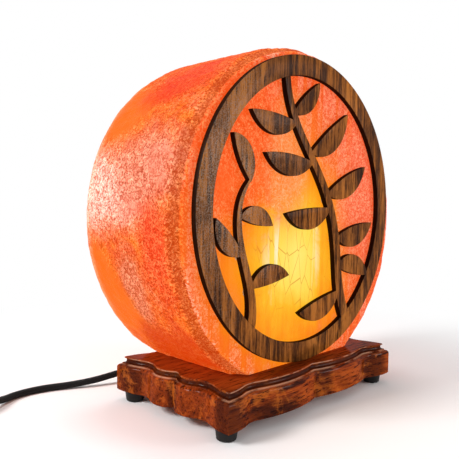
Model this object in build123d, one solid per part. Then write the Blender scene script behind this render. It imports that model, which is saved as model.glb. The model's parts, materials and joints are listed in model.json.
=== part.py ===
from build123d import *
import math
import os

# Salt crystal lamp: a sawn disc of rock salt stands on its rim on a moulded wooden board, a bulb on a
# spring-clipped lampholder lights it from a blind bore, and a laser-cut wooden ring with a leafy bough
# is bonded to its front face. The mains lead leaves under the back edge and lies on the table in a coil.
# Millimetres. +Z is up, the fretwork faces -Y, and the origin is on the table under the middle of the
# lamp's box, measured without the lead.

# ---- salt drum: a disc standing on a flat cut across its rim ----
DRUM_DIAMETER = 240.0
DRUM_THICKNESS = 98.0
DRUM_AXIS_HEIGHT = 101.0  # from the board's top face to the disc's axis
DRUM_SET_BACK = 11.5  # the disc's middle, behind the board's middle
FRONT_BEVEL_RADIAL = 4.5
FRONT_BEVEL_DEPTH = 8.0
FACE_OFF_AXIS = 2.3  # the face is dressed off the disc's axis, so its bevel is widest on the left
BACK_ROUND_RADIAL = 6.0
BACK_ROUND_DEPTH = 17.0
BORE_DIAMETER = 50.0  # one drill for the salt and the board, so the lampholder can pass both
BORE_DEPTH = 112.0  # above the board's top face
BORE_END_ROUND = 9.0

# ---- wooden board: a bracket outline, its edge moulded in four steps from the foot up ----
BOARD_WIDTH = 183.5
BOARD_DEPTH = 114.0
BODY_HEIGHT = 19.0
BEAD_HEIGHT = 1.0
COVE_HEIGHT = 2.9
LIP_HEIGHT = 1.3
BEAD_INSET = 2.75
COVE_INSET = 5.0
LIP_INSET = 3.9
WAVE_DEPTH = 4.6  # how far coves and the middle notches cut in from the outline's crests
COVE_FROM_CORNER = 27.0
EAR_FROM_CORNER = 3.5
COVE_RADIUS = 16.0
NOTCH_RADIUS = 0.8
EAR_ARC_ANGLE = 30.0  # the ear's arc runs on past the corner, where the next side cuts it
BODY_THUMB_RADIUS = 2.5
BEAD_CHAMFER = 0.35
COVE_FOOT_RADIUS = 1.7
LIP_CHAMFER = 0.4
BODY_FOOT_CHAMFER = 0.8
BOND_GROOVE_INNER = 60.0
BOND_GROOVE_WIDTH = 8.0
BOND_DEPTH = 1.0

# ---- fretwork on the front face ----
RING_OUTER_RADIUS = 106.5
RING_WIDTH = 13.8
RING_ABOVE_AXIS = 6.3
PANEL_THICKNESS = 4.0
GLUE_THICKNESS = 0.6
GLUE_DOT_DIAMETER = 7.0
RING_GLUE_DOTS = 8

# ---- feet ----
FOOT_HEIGHT = 7.2
FOOT_TOP_DIAMETER = 14.4
FOOT_TIP_DIAMETER = 12.4
FOOT_ROUND = 1.4
FOOT_FROM_SIDE = 8.8
FOOT_FROM_FRONT = 10.4
SCREW_HEAD_DIAMETER = 5.6
SCREW_HEAD_HEIGHT = 1.8
SCREW_SHANK_DIAMETER = 3.0
FOOT_SCREW_LENGTH = 14.0
FOOT_FLOOR_THICKNESS = 2.4  # rubber between the screw head and the board
FOOT_WELL_CLEARANCE = 0.4
SCREW_CLEARANCE = 0.05

# ---- lampholder, pushed up the bore on a sprung steel bracket ----
HOLDER_ABOVE_BOARD = 9.0  # from the board's top face to the holder's lower end
HOLDER_DIAMETER = 27.0
HOLDER_WALL = 2.0
HOLDER_CAP_HEIGHT = 15.0
HOLDER_SKIRT_HEIGHT = 31.0
HOLDER_JOIN_HEIGHT = 4.0
HOLDER_JOIN_CLEARANCE = 0.3
HOLDER_FOOT_BEVEL = 2.7
HOLDER_RIB_COUNT = 18
HOLDER_RIB_DEPTH = 0.5
HOLDER_RIB_FROM = 10.0
HOLDER_RIB_LENGTH = 14.0
SKIRT_LIP_FROM = 2.0
SKIRT_LIP_HEIGHT = 5.0
SKIRT_LIP_PROUD = 1.2
SKIRT_LIP_SLOPE = 1.5
INSERT_HEIGHT = 8.0
INSERT_CLEARANCE = 0.1
INSERT_EDGE_ROUND = 0.8
INSERT_LEDGE = 1.2
WIRE_SLOT_WIDTH = 4.0
WIRE_SLOT_DEPTH = 1.5
WIRE_CORE_DIAMETER = 1.4
WIRE_STRAIGHT = 2.4
TERMINAL_OFFSET = 5.4
TERMINAL_HEAD_DIAMETER = 5.0
TERMINAL_HEAD_HEIGHT = 1.6
TERMINAL_TOP_GAP = 1.0
SHELL_WALL = 0.5
SHELL_CLEARANCE = 0.35
SHELL_HEIGHT = 20.0
SHELL_THREAD_TURNS = 5
THREAD_PITCH = 2.82
THREAD_DEPTH = 0.7
CONTACT_THICKNESS = 0.5
CONTACT_WIDTH = 4.0
CONTACT_LENGTH = 9.0
CONTACT_FOLD_FROM = 1.8  # of the folded-over end, from the contact's middle
TERMINAL_SCREW_DIAMETER = 3.0
NIPPLE_DIAMETER = 10.0
NIPPLE_BORE = 6.6
NIPPLE_BELOW = 7.0
NIPPLE_ABOVE_FLOOR = 3.0
LEAD_IN_NIPPLE_FROM = 1.0  # from the threaded tube's lower end
LEAD_END_ABOVE_FLOOR = 2.0
NUT_ACROSS_FLATS = 14.0
NUT_HEIGHT = 3.0
CLIP_THICKNESS = 0.8
CLIP_WIDTH = 12.0
CLIP_WALL_GAP = 0.3
CLIP_PLATE_HALF = 14.5
CLIP_RISE = 26.0
CLIP_LIP = 3.5
CLIP_KNEE_SHARE = 0.62  # of the arm's rise, where it bears on the bore's wall
CLIP_BOW = 2.8

# ---- bulb, small screw cap ----
CAP_DIAMETER = 13.8
CAP_HEIGHT = 20.0
CAP_WALL = 0.5
CAP_THREAD_TURNS = 4
TIP_HEIGHT = 1.9
TIP_DIAMETER = 5.0
TIP_ROOT = 1.5
TIP_ROUND = 0.5
BUTTON_PROUD = 1.6
BUTTON_SHOULDER = 1.2
BUTTON_IN_CAP = 2.0
GLASS_DIAMETER = 25.0
GLASS_HEIGHT = 40.0
GLASS_NECK_DIAMETER = 11.0
GLASS_NECK_HEIGHT = 6.0
GLASS_IN_CAP = 2.0
GLASS_WALL = 0.8
STEM_DIAMETER = 5.0
STEM_HEIGHT = 17.0
STEM_FLARE_GAP = 0.2
STEM_FLARE_FOOT = 2.0
STEM_FLARE_HEIGHT = 8.0
WIRE_DIAMETER = 0.6
FILAMENT_SPREAD = 6.0
FILAMENT_RISE = 9.0
FILAMENT_ROOT_SPREAD = 1.2
FILAMENT_ELBOW_RISE = 4.0
FILAMENT_BOW = 3.0
FILAMENT_BEND_RADIUS = 1.2

# ---- mains lead ----
CORD_DIAMETER = 5.0
LEAD_CHANNEL_CLEARANCE = 0.6
LEAD_ABOVE_CLAMP = 0.2
LEAD_CHANNEL_START = 12.0  # from the bore's axis
LEAD_BEND_RADIUS = 12.0
CLAMP_FROM_EXIT = 12.0
CLAMP_LENGTH = 26.0
CLAMP_WIDTH = 9.0
CLAMP_THICKNESS = 1.5
CLAMP_SCREW_SPACING = 18.0
CLAMP_SCREW_LENGTH = 10.0
CLAMP_CORNER = 3.0

# The free lead's route from the board's back edge to the dimmer: out of the channel, down to the table
# and round to the left, then up into the dimmer's sleeve.
LEAD_ROUTE = [
    (-22.0, 55.0, 9.9),
    (-26.42, 64.08, 9.9),
    (-34.6, 74.6, 9.7),
    (-48.5, 81.6, 9.1),
    (-69.5, 84.6, 8.1),
    (-88.0, 89.6, 4.9),
    (-105.5, 98.2, 2.7),
    (-124.5, 105.6, 2.5),
    (-143.0, 105.6, 2.5),
    (-157.0, 98.8, 3.2),
    (-168.5, 92.0, 6.6),
    (-178.5, 87.6, 8.0),
    (-187.5, 85.4, 8.0),
]

# ---- in-line dimmer, lying on the table ----
DIMMER_LENGTH = 62.0
DIMMER_WIDTH = 27.0
DIMMER_HEIGHT = 17.0
DIMMER_WALL = 1.6
DIMMER_EDGE_ROUND = 3.0
DIMMER_SEAM_GAP = 0.3
SLEEVE_LENGTH = 20.0
SLEEVE_ROOT_DIAMETER = 9.5
SLEEVE_TIP_DIAMETER = 6.6
SLEEVE_RINGS = 5
SLEEVE_RING_DEPTH = 0.5
SLEEVE_SEAT = 1.6  # how deep a sleeve's root is let into the housing or the plug
SLEEVE_ROOT_LAND = 1.5
SLEEVE_TIP_LAND = 2.0
WHEEL_DIAMETER = 19.0
WHEEL_THICKNESS = 4.0
WHEEL_PROUD = 3.2  # how far the wheel stands out of the housing's side
WHEEL_NOTCHES = 20
WHEEL_NOTCH_DIAMETER = 1.2
WHEEL_SLOT_CLEARANCE = 0.5
SPINDLE_DIAMETER = 4.0
SPINDLE_CLEARANCE = 0.06
CIRCUIT_LENGTH = 40.0
CIRCUIT_WIDTH = 21.0
CIRCUIT_THICKNESS = 1.6
CIRCUIT_LIFT = 1.0
CIRCUIT_CORNER = 1.5
STAND_OFF_DIAMETER = 3.0
STAND_OFF_FROM_END = 2.5
STAND_OFF_FROM_SIDE = 3.5
POT_LENGTH = 8.0
POT_WIDTH = 6.0
POT_SET_BACK = 1.0
POT_BELOW_WHEEL = 0.3
SPINDLE_PROUD = 0.7
TERMINAL_BLOCK = (6.0, 9.0, 5.0)
TERMINAL_BLOCK_ACROSS = 1.5
TERMINAL_BLOCK_GAP = 3.0  # beside the wheel
POWER_SWITCH = (9.5, 4.5, 6.5)
CAPACITOR = (9.0, 4.5, 5.5)
CAPACITOR_ROUND = 1.0
COMPONENT_GAP = 2.5  # between the switch and the capacitor
COMPONENT_CLEARANCE = 0.5  # from the wheel's edge
WHEEL_LIFT = 1.0  # the wheel's middle above the housing's seam
DIMMER_SCREW_SPACING = 50.0
DIMMER_SCREW_LENGTH = 9.0
DIMMER_POST_DIAMETER = 8.0
DIMMER_WELL_DEPTH = 2.2
DIMMER_WELL_CLEARANCE = 0.2

# ---- put-away coil of the lead: seven turns in two layers, spiralling in and out again ----
COIL_CENTRE = (-281.0, 10.0)
COIL_OUTER_RADIUS = 39.0
COIL_PITCH = 5.7
COIL_LAYER_RISE = 5.6
COIL_TURNS_IN = 3.25
COIL_TURNS_CLIMB = 0.5
COIL_TURNS_OUT = 3.25
COIL_START_ANGLE = 180.0
COIL_STEPS_PER_TURN = 4
TIE_THICKNESS = 0.8
TIE_WIDTH = 9.0
TIE_CLEARANCE = 0.9
TIE_LINING_GAP = 0.1  # between the strap and the turns, above and below
TIE_CORNER = 2.0
TIE_ANGLE = 300.0

# The lead's bends between the dimmer and the coil, and between the coil and the plug.
FEED_BENDS = [(-297.29, 58.57, 8.0), (-308.2, 51.5, 6.6), (-316.4, 40.8, 4.6), (-320.43, 28.0, 3.4)]
TAIL_BENDS = [(-320.33, -5.0, 9.0), (-318.0, -15.3, 8.2), (-312.8, -23.9, 6.85), (-306.8, -30.0, 6.85)]

# ---- two-pin plug, lying flat ----
PLUG_WIDTH = 35.3
PLUG_THICKNESS = 13.7
PLUG_LENGTH = 36.0
PLUG_REAR_WIDTH = 15.0
PLUG_EDGE_ROUND = 2.5
PLUG_SLEEVE_LENGTH = 22.0
PLUG_WAIST_FROM_REAR = 20.0
PLUG_WAIST_WIDTH = 31.0
PIN_SPACING = 18.6
PIN_DIAMETER = 4.0
PIN_LENGTH = 19.0
PIN_SLEEVE_DIAMETER = 3.8
PIN_SLEEVE_WALL = 0.4
PIN_SLEEVE_LENGTH = 10.0
PIN_ROOT = 8.0
PIN_TIP_ROUND = 1.0

# ---- the bough cut in the panel, about the ring's middle: (across, up) ----
STEM_POINTS = [
    (52.0, -84.0),
    (40.0, -54.0),
    (35.0, -22.0),
    (24.0, 8.0),
    (4.0, 36.0),
    (-16.0, 62.0),
    (-26.0, 94.0),
]
STEM_WIDTHS = [10.5, 9.0, 8.0, 7.2, 6.6, 5.8, 5.4]
SIDE_SHOOT_POINTS = [(-58.0, -76.0), (-58.0, -52.0), (-66.0, -28.0), (-70.0, -2.0), (-60.0, 20.0)]
SIDE_SHOOT_WIDTHS = [8.0, 6.4, 5.4, 4.2, 1.6]
# Each leaf: (its foot on the stem, its tip, its width, its bow to the left of foot-to-tip).
LEAVES = [
    ((41.0, -60.0), (-8.0, -72.0), 15.0, 6.0),
    ((37.0, -42.0), (80.0, -52.0), 15.0, 5.0),
    ((35.0, -20.0), (84.0, -10.0), 16.0, -5.0),
    ((27.0, 2.0), (-24.0, -2.0), 15.0, 6.0),
    ((22.0, 12.0), (72.0, 34.0), 16.0, -5.0),
    ((5.0, 34.0), (-46.0, 38.0), 15.0, 5.0),
    ((1.0, 40.0), (46.0, 72.0), 16.0, -6.0),
    ((-14.0, 60.0), (-60.0, 64.0), 14.0, 5.0),
    ((-19.0, 66.0), (10.0, 90.0), 12.0, -4.0),
    ((-59.0, -50.0), (-20.0, -44.0), 13.0, 5.0),
    ((-66.0, -28.0), (-90.0, -4.0), 12.0, 4.0),
    ((-69.5, -4.0), (-38.0, -10.0), 12.0, 4.0),
    ((-60.0, 18.0), (-76.0, 48.0), 13.0, -4.0),
]

# ---- places worked out from the sizes above ----
board_bottom = FOOT_HEIGHT
board_height = BODY_HEIGHT + BEAD_HEIGHT + COVE_HEIGHT + LIP_HEIGHT
board_top = board_bottom + board_height
board_y = -(DRUM_SET_BACK + DRUM_THICKNESS / 2 - BOARD_DEPTH / 2) / 2
drum_y = board_y + DRUM_SET_BACK
drum_front = drum_y - DRUM_THICKNESS / 2
drum_z = board_top + DRUM_AXIS_HEIGHT
panel_plane = Plane(
    origin=(0, drum_front - GLUE_THICKNESS, drum_z + RING_ABOVE_AXIS), x_dir=(1, 0, 0), z_dir=(0, -1, 0)
)
ring_inner_radius = RING_OUTER_RADIUS - RING_WIDTH
holder_z = board_top + HOLDER_ABOVE_BOARD
insert_top = holder_z + HOLDER_CAP_HEIGHT + HOLDER_JOIN_HEIGHT
cap_root_radius = CAP_DIAMETER / 2 - THREAD_DEPTH - CAP_WALL
cap_bottom = insert_top + THREAD_PITCH  # one pitch up, so that the cap's thread lies in the shell's
glass_bottom = cap_bottom + CAP_HEIGHT - GLASS_IN_CAP
lead_z = board_bottom + CORD_DIAMETER / 2 + LEAD_ABOVE_CLAMP
coil_z = TIE_THICKNESS + TIE_LINING_GAP + CORD_DIAMETER / 2


def turned(*outline):
    """A solid turned about Z from its half profile, (radius, height) point by point."""
    return revolve(make_face(Plane.XZ * Polyline(*outline, close=True)), Axis.Z)


def straight_tube(diameter, bore, height):
    """A round tube standing on the origin."""
    return extrude(Circle(diameter / 2) - Circle(bore / 2), height)


def pan_screw(length):
    """A pan-head screw pointing up, its head's seat at the origin."""
    head, shank = SCREW_HEAD_DIAMETER / 2, SCREW_SHANK_DIAMETER / 2
    return turned(
        (0, -SCREW_HEAD_HEIGHT),
        (head * 0.7, -SCREW_HEAD_HEIGHT),
        (head, -SCREW_HEAD_HEIGHT * 0.45),
        (head, 0),
        (shank, 0),
        (shank, length - shank),
        (0, length),
    )


def screw_hole(length):
    """The hole that a pan-head screw of this length needs above its seat."""
    return Pos(0, 0, length / 2) * Cylinder(SCREW_SHANK_DIAMETER / 2 + SCREW_CLEARANCE, length + 1.0)


# ---------------------------------------------------------------- salt drum


def salt_drum():
    """The sawn disc: an uneven bevel in front, well-rounded back rim, flat foot and blind bore."""
    radius, half, bevel_end = DRUM_DIAMETER / 2, DRUM_THICKNESS / 2, FRONT_BEVEL_DEPTH - DRUM_THICKNESS / 2
    back_side, back = (radius, half - BACK_ROUND_DEPTH), (radius - BACK_ROUND_RADIAL, half)
    rim = TangentArc(back_side, back, tangent=(0, 1))
    outline = Polyline((0, bevel_end), (radius, bevel_end), back_side) + rim
    outline += Polyline(back, (0, half), (0, bevel_end))
    face = Plane.XZ.offset(half) * Pos(FACE_OFF_AXIS, 0) * Circle(radius - FRONT_BEVEL_RADIAL)
    bevel = loft([face, Plane.XZ.offset(-bevel_end) * Circle(radius)], ruled=True)
    disc = Pos(0, drum_y, drum_z) * (revolve(make_face(outline), Axis.Y) + bevel)
    below = Pos(0, drum_y, board_top - DRUM_DIAMETER / 2) * Box(DRUM_DIAMETER, DRUM_DIAMETER, DRUM_DIAMETER)
    bore = Pos(0, drum_y, board_top) * extrude(Circle(BORE_DIAMETER / 2), BORE_DEPTH)
    bore = fillet(bore.edges().sort_by(Axis.Z)[-1], BORE_END_ROUND)
    return disc - below - bore


def drum_bond():
    """The bead of bonding silicone that holds the disc, filling the groove in the board."""
    inner = BOND_GROOVE_INNER / 2
    ring = extrude(Circle(inner + BOND_GROOVE_WIDTH) - Circle(inner), BOND_DEPTH)
    return Pos(0, drum_y, board_top - BOND_DEPTH) * ring


# ---------------------------------------------------------------- board


def bracket_sheet(span, width):
    """A sheet whose edges at +-width/2 carry the bracket outline between corners at +-span/2.

    Half of one edge is three tangent arcs: from the sharp notch in the middle over a long swell, through
    a cove and over the ear at the corner.
    """
    low, cut = -width / 2, WAVE_DEPTH
    cove, ear = span / 2 - COVE_FROM_CORNER, span / 2 - EAR_FROM_CORNER
    crest = cove / 2 - COVE_RADIUS * cut / cove
    swell_radius = (crest**2 + cut**2) / (2 * cut)
    ear_radius = ((ear - cove) ** 2 + cut**2) / (2 * cut) - COVE_RADIUS
    swell_middle, cove_middle = Vector(crest, low + swell_radius), Vector(cove, low + cut - COVE_RADIUS)
    ear_middle = Vector(ear, low + ear_radius)
    swell_end = swell_middle + (cove_middle - swell_middle).normalized() * swell_radius
    ear_start = ear_middle + (cove_middle - ear_middle).normalized() * ear_radius
    past = math.radians(EAR_ARC_ANGLE)
    ear_end = ear_middle + Vector(math.sin(past), -math.cos(past)) * ear_radius
    half = [
        ThreePointArc((0, low + cut), (crest, low), swell_end),
        ThreePointArc(swell_end, (cove, low + cut), ear_start),
        ThreePointArc(ear_start, (ear, low), ear_end),
        Line(ear_end, (ear_end.X, 0)),
    ]
    quarter = [edge for curve in half for edge in curve.edges()]
    lower = quarter + [edge.mirror(Plane.YZ) for edge in quarter]
    return make_face(lower + [edge.mirror(Plane.XZ) for edge in lower])


def board_outline():
    """The board's outline: the front and back edges cut by the side edges."""
    front_and_back = bracket_sheet(BOARD_WIDTH, BOARD_DEPTH)
    sides = Rot(0, 0, 90) * bracket_sheet(BOARD_DEPTH, BOARD_WIDTH)
    outline = front_and_back & sides
    notches = outline.vertices().filter_by(lambda corner: min(abs(corner.X), abs(corner.Y)) < NOTCH_RADIUS)
    return Pos(0, board_y, 0) * fillet(notches, NOTCH_RADIUS)


def foot_places():
    """The four feet's middles, by name."""
    x, y = BOARD_WIDTH / 2 - FOOT_FROM_SIDE, BOARD_DEPTH / 2 - FOOT_FROM_FRONT
    return {
        "foot_front_left": (-x, board_y - y),
        "foot_front_right": (x, board_y - y),
        "foot_back_left": (-x, board_y + y),
        "foot_back_right": (x, board_y + y),
    }


def lead_direction():
    """The way the lead's channel runs under the board, from the bore's axis to the exit, and its length."""
    run = Vector(LEAD_ROUTE[0][0], LEAD_ROUTE[0][1], 0) - Vector(0, drum_y, 0)
    return run.normalized(), run.length


def along_lead(distance, height):
    """A plane at a distance from the bore's axis along the channel, its X along the lead and Z up."""
    direction, _ = lead_direction()
    place = Vector(0, drum_y, height) + direction * distance
    return Plane(origin=place, x_dir=direction, z_dir=(0, 0, 1))


def clamp_distance():
    """How far the clamp's middle is from the bore's axis."""
    return lead_direction()[1] - CLAMP_FROM_EXIT


def clamp_screw_planes(height):
    """The clamp's two screw places, one on each side of the lead."""
    middle = along_lead(clamp_distance(), height)
    return [middle * Pos(0, side * CLAMP_SCREW_SPACING / 2, 0) for side in (-1, 1)]


def moulded_block():
    """The board before it is holed: a thumb-edged body, a small bead, a cove and the top's lip, on Z = 0."""
    outline = board_outline()
    bead_top, lip_foot = BODY_HEIGHT + BEAD_HEIGHT, board_height - LIP_HEIGHT
    body = extrude(outline, BODY_HEIGHT)
    body = fillet(body.edges().group_by(Axis.Z)[-1], BODY_THUMB_RADIUS)
    body = chamfer(body.edges().group_by(Axis.Z)[0], BODY_FOOT_CHAMFER)
    bead = extrude(offset(outline, -BEAD_INSET, kind=Kind.ARC), bead_top)
    bead = chamfer(bead.edges().group_by(Axis.Z)[-1], BEAD_CHAMFER)
    lip = Pos(0, 0, lip_foot) * extrude(offset(outline, -LIP_INSET, kind=Kind.ARC), LIP_HEIGHT)
    lip = chamfer(lip.edges().group_by(Axis.Z)[-1] + lip.edges().group_by(Axis.Z)[0], LIP_CHAMFER)
    cove = offset(outline, -COVE_INSET, kind=Kind.ARC)
    block = body + bead + extrude(cove, board_height)
    foot_of_cove = block.edges().filter_by_position(Axis.Z, bead_top, bead_top)
    inside = offset(outline, -(COVE_INSET + BEAD_INSET) / 2, kind=Kind.ARC)
    foot_of_cove = foot_of_cove.filter_by(lambda edge: inside.is_inside(edge @ 0.5 - (0, 0, bead_top)))
    return fillet(foot_of_cove, COVE_FOOT_RADIUS) + lip


def base_plate():
    """The moulded board, holed for the lampholder and channelled for the lead."""
    board = Pos(0, 0, board_bottom) * moulded_block()
    board -= Pos(0, drum_y, board_bottom) * extrude(Circle(BORE_DIAMETER / 2), board_top)
    board -= drum_bond()
    for x, y in foot_places().values():
        board -= Pos(x, y, board_bottom) * screw_hole(FOOT_SCREW_LENGTH - FOOT_FLOOR_THICKNESS)
    for place in clamp_screw_planes(board_bottom):
        board -= place * screw_hole(CLAMP_SCREW_LENGTH - CLAMP_THICKNESS)
    _, length = lead_direction()
    width = CORD_DIAMETER + LEAD_CHANNEL_CLEARANCE
    channel = Box(length, width, 2 * (lead_z - board_bottom)) + Pos(0, 0, lead_z - board_bottom) * Rot(
        0, 90, 0
    ) * Cylinder(width / 2, length)
    return board - along_lead(LEAD_CHANNEL_START + length / 2, board_bottom) * channel


def foot():
    """One rubber foot hanging from the board, tapered, with a well for its screw."""
    top, tip = FOOT_TOP_DIAMETER / 2, FOOT_TIP_DIAMETER / 2
    well = SCREW_HEAD_DIAMETER / 2 + FOOT_WELL_CLEARANCE
    rubber = turned((0, 0), (tip, 0), (top, FOOT_HEIGHT), (0, FOOT_HEIGHT))
    rubber = fillet(rubber.edges().sort_by(Axis.Z)[0], FOOT_ROUND)
    seat = FOOT_HEIGHT - FOOT_FLOOR_THICKNESS
    shank = SCREW_SHANK_DIAMETER / 2 + SCREW_CLEARANCE
    above = FOOT_HEIGHT + 1
    return rubber - turned((0, -1), (well, -1), (well, seat), (shank, seat), (shank, above), (0, above))


def foot_screws():
    """The four screws that hold the feet."""
    seat = FOOT_HEIGHT - FOOT_FLOOR_THICKNESS
    return [Pos(x, y, seat) * pan_screw(FOOT_SCREW_LENGTH) for x, y in foot_places().values()]


# ---------------------------------------------------------------- fretwork


def ring_frame():
    """The laser-cut ring."""
    return extrude(panel_plane * (Circle(RING_OUTER_RADIUS) - Circle(ring_inner_radius)), PANEL_THICKNESS)


def tapered_stroke(points, widths):
    """A flat stroke along a smooth line through the points, as wide at each as its width says."""
    spine = Spline(*points)
    left, right = [], []
    for point, width in zip(points, widths):
        along = spine.tangent_at(Vector(*point))
        across = Vector(-along.Y, along.X) * (width / 2)
        left.append(Vector(*point) + across)
        right.append(Vector(*point) - across)
    sides = Spline(*left) + Line(left[-1], right[-1]) + Spline(*right[::-1]) + Line(right[0], left[0])
    return make_face(sides)


def leaf(foot_point, tip, width, bow):
    """A pointed leaf of two arcs from its foot to its tip, bowed to one side."""
    start, end = Vector(*foot_point), Vector(*tip)
    across = (end - start).normalized().rotate(Axis.Z, 90)
    middle = (start + end) / 2 + across * bow
    left, right = middle + across * (width / 2), middle - across * (width / 2)
    return make_face(ThreePointArc(start, left, end) + ThreePointArc(end, right, start))


def bough_fretwork():
    """The leafy bough, cut from the ring's board and reaching the ring where its stems and tips touch."""
    sheet = tapered_stroke(STEM_POINTS, STEM_WIDTHS) + tapered_stroke(SIDE_SHOOT_POINTS, SIDE_SHOOT_WIDTHS)
    for shape in LEAVES:
        sheet += leaf(*shape)
    sheet = sheet & Circle(ring_inner_radius)
    return extrude(panel_plane * sheet, PANEL_THICKNESS)


def glue_dots():
    """Clear adhesive between the salt and the backs of the ring and the bough."""
    middle = RING_OUTER_RADIUS - RING_WIDTH / 2
    turns = [360 / RING_GLUE_DOTS * (i + 0.5) for i in range(RING_GLUE_DOTS)]
    places = [(middle * math.cos(math.radians(t)), middle * math.sin(math.radians(t))) for t in turns]
    places += STEM_POINTS[1:-1] + SIDE_SHOOT_POINTS[1:3]
    dot = panel_plane * extrude(Circle(GLUE_DOT_DIAMETER / 2), -GLUE_THICKNESS)
    return [Pos(x, 0, up) * dot for x, up in places]


# ---------------------------------------------------------------- lampholder and bulb


def on_bore_axis(shape, height):
    """The shape moved from the origin to a height on the bore's axis."""
    return Pos(0, drum_y, height) * shape


def holder_cap():
    """The holder's lower cup, with a floor holed for the threaded tube and a rim that the skirt sits on."""
    outer, wall, high = HOLDER_DIAMETER / 2, HOLDER_WALL, HOLDER_CAP_HEIGHT
    hole, neck = NIPPLE_DIAMETER / 2 + SCREW_CLEARANCE, outer - wall
    ledge = insert_top - INSERT_HEIGHT - holder_z
    cup = turned(
        (hole, 0),
        (outer - HOLDER_FOOT_BEVEL, 0),
        (outer, HOLDER_FOOT_BEVEL),
        (outer, high),
        (neck, high),
        (neck, high + HOLDER_JOIN_HEIGHT - HOLDER_JOIN_CLEARANCE),
        (neck - wall, high + HOLDER_JOIN_HEIGHT - HOLDER_JOIN_CLEARANCE),
        (neck - wall, ledge),
        (neck - wall - INSERT_LEDGE, ledge),
        (neck - wall - INSERT_LEDGE, wall),
        (hole, wall),
    )
    return on_bore_axis(cup, holder_z)


def holder_skirt():
    """The holder's upper tube, ribbed for grip, open at the top for the bulb."""
    outer, wall = HOLDER_DIAMETER / 2, HOLDER_WALL
    tube = straight_tube(HOLDER_DIAMETER, HOLDER_DIAMETER - 2 * wall, HOLDER_SKIRT_HEIGHT)
    proud, low, high = outer + SKIRT_LIP_PROUD, SKIRT_LIP_FROM, SKIRT_LIP_FROM + SKIRT_LIP_HEIGHT
    slope = SKIRT_LIP_SLOPE
    skirt = tube + turned((outer, low), (proud, low + slope), (proud, high - slope), (outer, high))
    rib = Pos(outer, 0, HOLDER_RIB_FROM) * extrude(Circle(HOLDER_RIB_DEPTH), HOLDER_RIB_LENGTH)
    for i in range(HOLDER_RIB_COUNT):
        skirt += Rot(0, 0, 360 / HOLDER_RIB_COUNT * i) * rib
    return on_bore_axis(skirt, holder_z + HOLDER_CAP_HEIGHT)


def insert_radius():
    """The insert's radius, a free fit in the cup's rim."""
    return HOLDER_DIAMETER / 2 - 2 * HOLDER_WALL - INSERT_CLEARANCE


def holder_insert():
    """The moulded insert that carries the contacts, slotted below for the wires."""
    block = extrude(Circle(insert_radius()), INSERT_HEIGHT)
    block = fillet(block.edges().sort_by(Axis.Z)[-1], INSERT_EDGE_ROUND)
    block -= Box(WIRE_SLOT_WIDTH, 2 * insert_radius(), 2 * WIRE_SLOT_DEPTH)
    for side in (-1, 1):
        block -= Pos(side * TERMINAL_OFFSET, 0, INSERT_HEIGHT / 2) * Cylinder(
            TERMINAL_SCREW_DIAMETER / 2 + SCREW_CLEARANCE, INSERT_HEIGHT + 1
        )
    return on_bore_axis(block, insert_top - INSERT_HEIGHT)


def threaded_wall(inner_radius, wall, height, turns):
    """A thin round wall with a rolled thread from its foot up, drawn as one wave each pitch."""
    waves = [(0.0, 0.0)]
    for i in range(turns):
        waves += [(THREAD_DEPTH, (i + 0.35) * THREAD_PITCH), (THREAD_DEPTH, (i + 0.65) * THREAD_PITCH)]
        waves += [(0.0, (i + 1) * THREAD_PITCH)]
    waves.append((0.0, height))
    inside = [(inner_radius + r, z) for r, z in waves]
    outside = [(inner_radius + wall + r, z) for r, z in waves]
    return turned(*inside, *outside[::-1])


def screw_shell():
    """The brass sleeve that the bulb screws into."""
    inner = cap_root_radius + CAP_WALL + SHELL_CLEARANCE
    return on_bore_axis(threaded_wall(inner, SHELL_WALL, SHELL_HEIGHT, SHELL_THREAD_TURNS), insert_top)


def centre_contact():
    """The sprung brass tongue under the bulb's tip, its free end just clear of it."""
    half, thick = CONTACT_LENGTH / 2, CONTACT_THICKNESS
    rise = cap_bottom - TIP_HEIGHT - insert_top - thick - SCREW_CLEARANCE
    top, fold = rise + thick, CONTACT_FOLD_FROM
    side = Polyline((half, 0), (-half, 0), (-half, top), (fold, top), (half, thick), close=True)
    hollow = Polyline((fold, 0), (-half, 0), (-half, rise), close=True)
    tongue = extrude(make_face(Plane.XZ * side), CONTACT_WIDTH / 2, both=True)
    return on_bore_axis(tongue - extrude(make_face(Plane.XZ * hollow), CONTACT_WIDTH, both=True), insert_top)


def terminal_screws():
    """The two screws that grip the wires from below."""
    head, shank, high = TERMINAL_HEAD_DIAMETER / 2, TERMINAL_SCREW_DIAMETER / 2, TERMINAL_HEAD_HEIGHT
    top = high + INSERT_HEIGHT - TERMINAL_TOP_GAP
    screw = turned((0, 0), (head, 0), (head, high), (shank, high), (shank, top), (0, top))
    low = insert_top - INSERT_HEIGHT - high
    return [on_bore_axis(Pos(side * TERMINAL_OFFSET, 0, 0) * screw, low) for side in (-1, 1)]


def holder_wires():
    """The lead's two cores, from its end in the threaded tube up to the terminal screws."""
    start = holder_z + HOLDER_WALL + LEAD_END_ABOVE_FLOOR
    low = insert_top - INSERT_HEIGHT - TERMINAL_HEAD_HEIGHT
    wires = []
    for side in (-1, 1):
        near, far = side * WIRE_CORE_DIAMETER, side * TERMINAL_OFFSET
        bends = [(near, 0, start + WIRE_STRAIGHT), (far, 0, low - WIRE_STRAIGHT)]
        path = FilletPolyline((near, 0, start), *bends, (far, 0, low), radius=WIRE_CORE_DIAMETER)
        core = sweep(Plane(path @ 0, z_dir=path % 0) * Circle(WIRE_CORE_DIAMETER / 2), path)
        wires.append(on_bore_axis(core, 0))
    return wires


def holder_nipple():
    """The threaded tube through the holder's floor and the steel bracket; the lead comes up through it."""
    length = NIPPLE_BELOW + HOLDER_WALL + NIPPLE_ABOVE_FLOOR
    return on_bore_axis(straight_tube(NIPPLE_DIAMETER, NIPPLE_BORE, length), holder_z - NIPPLE_BELOW)


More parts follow.
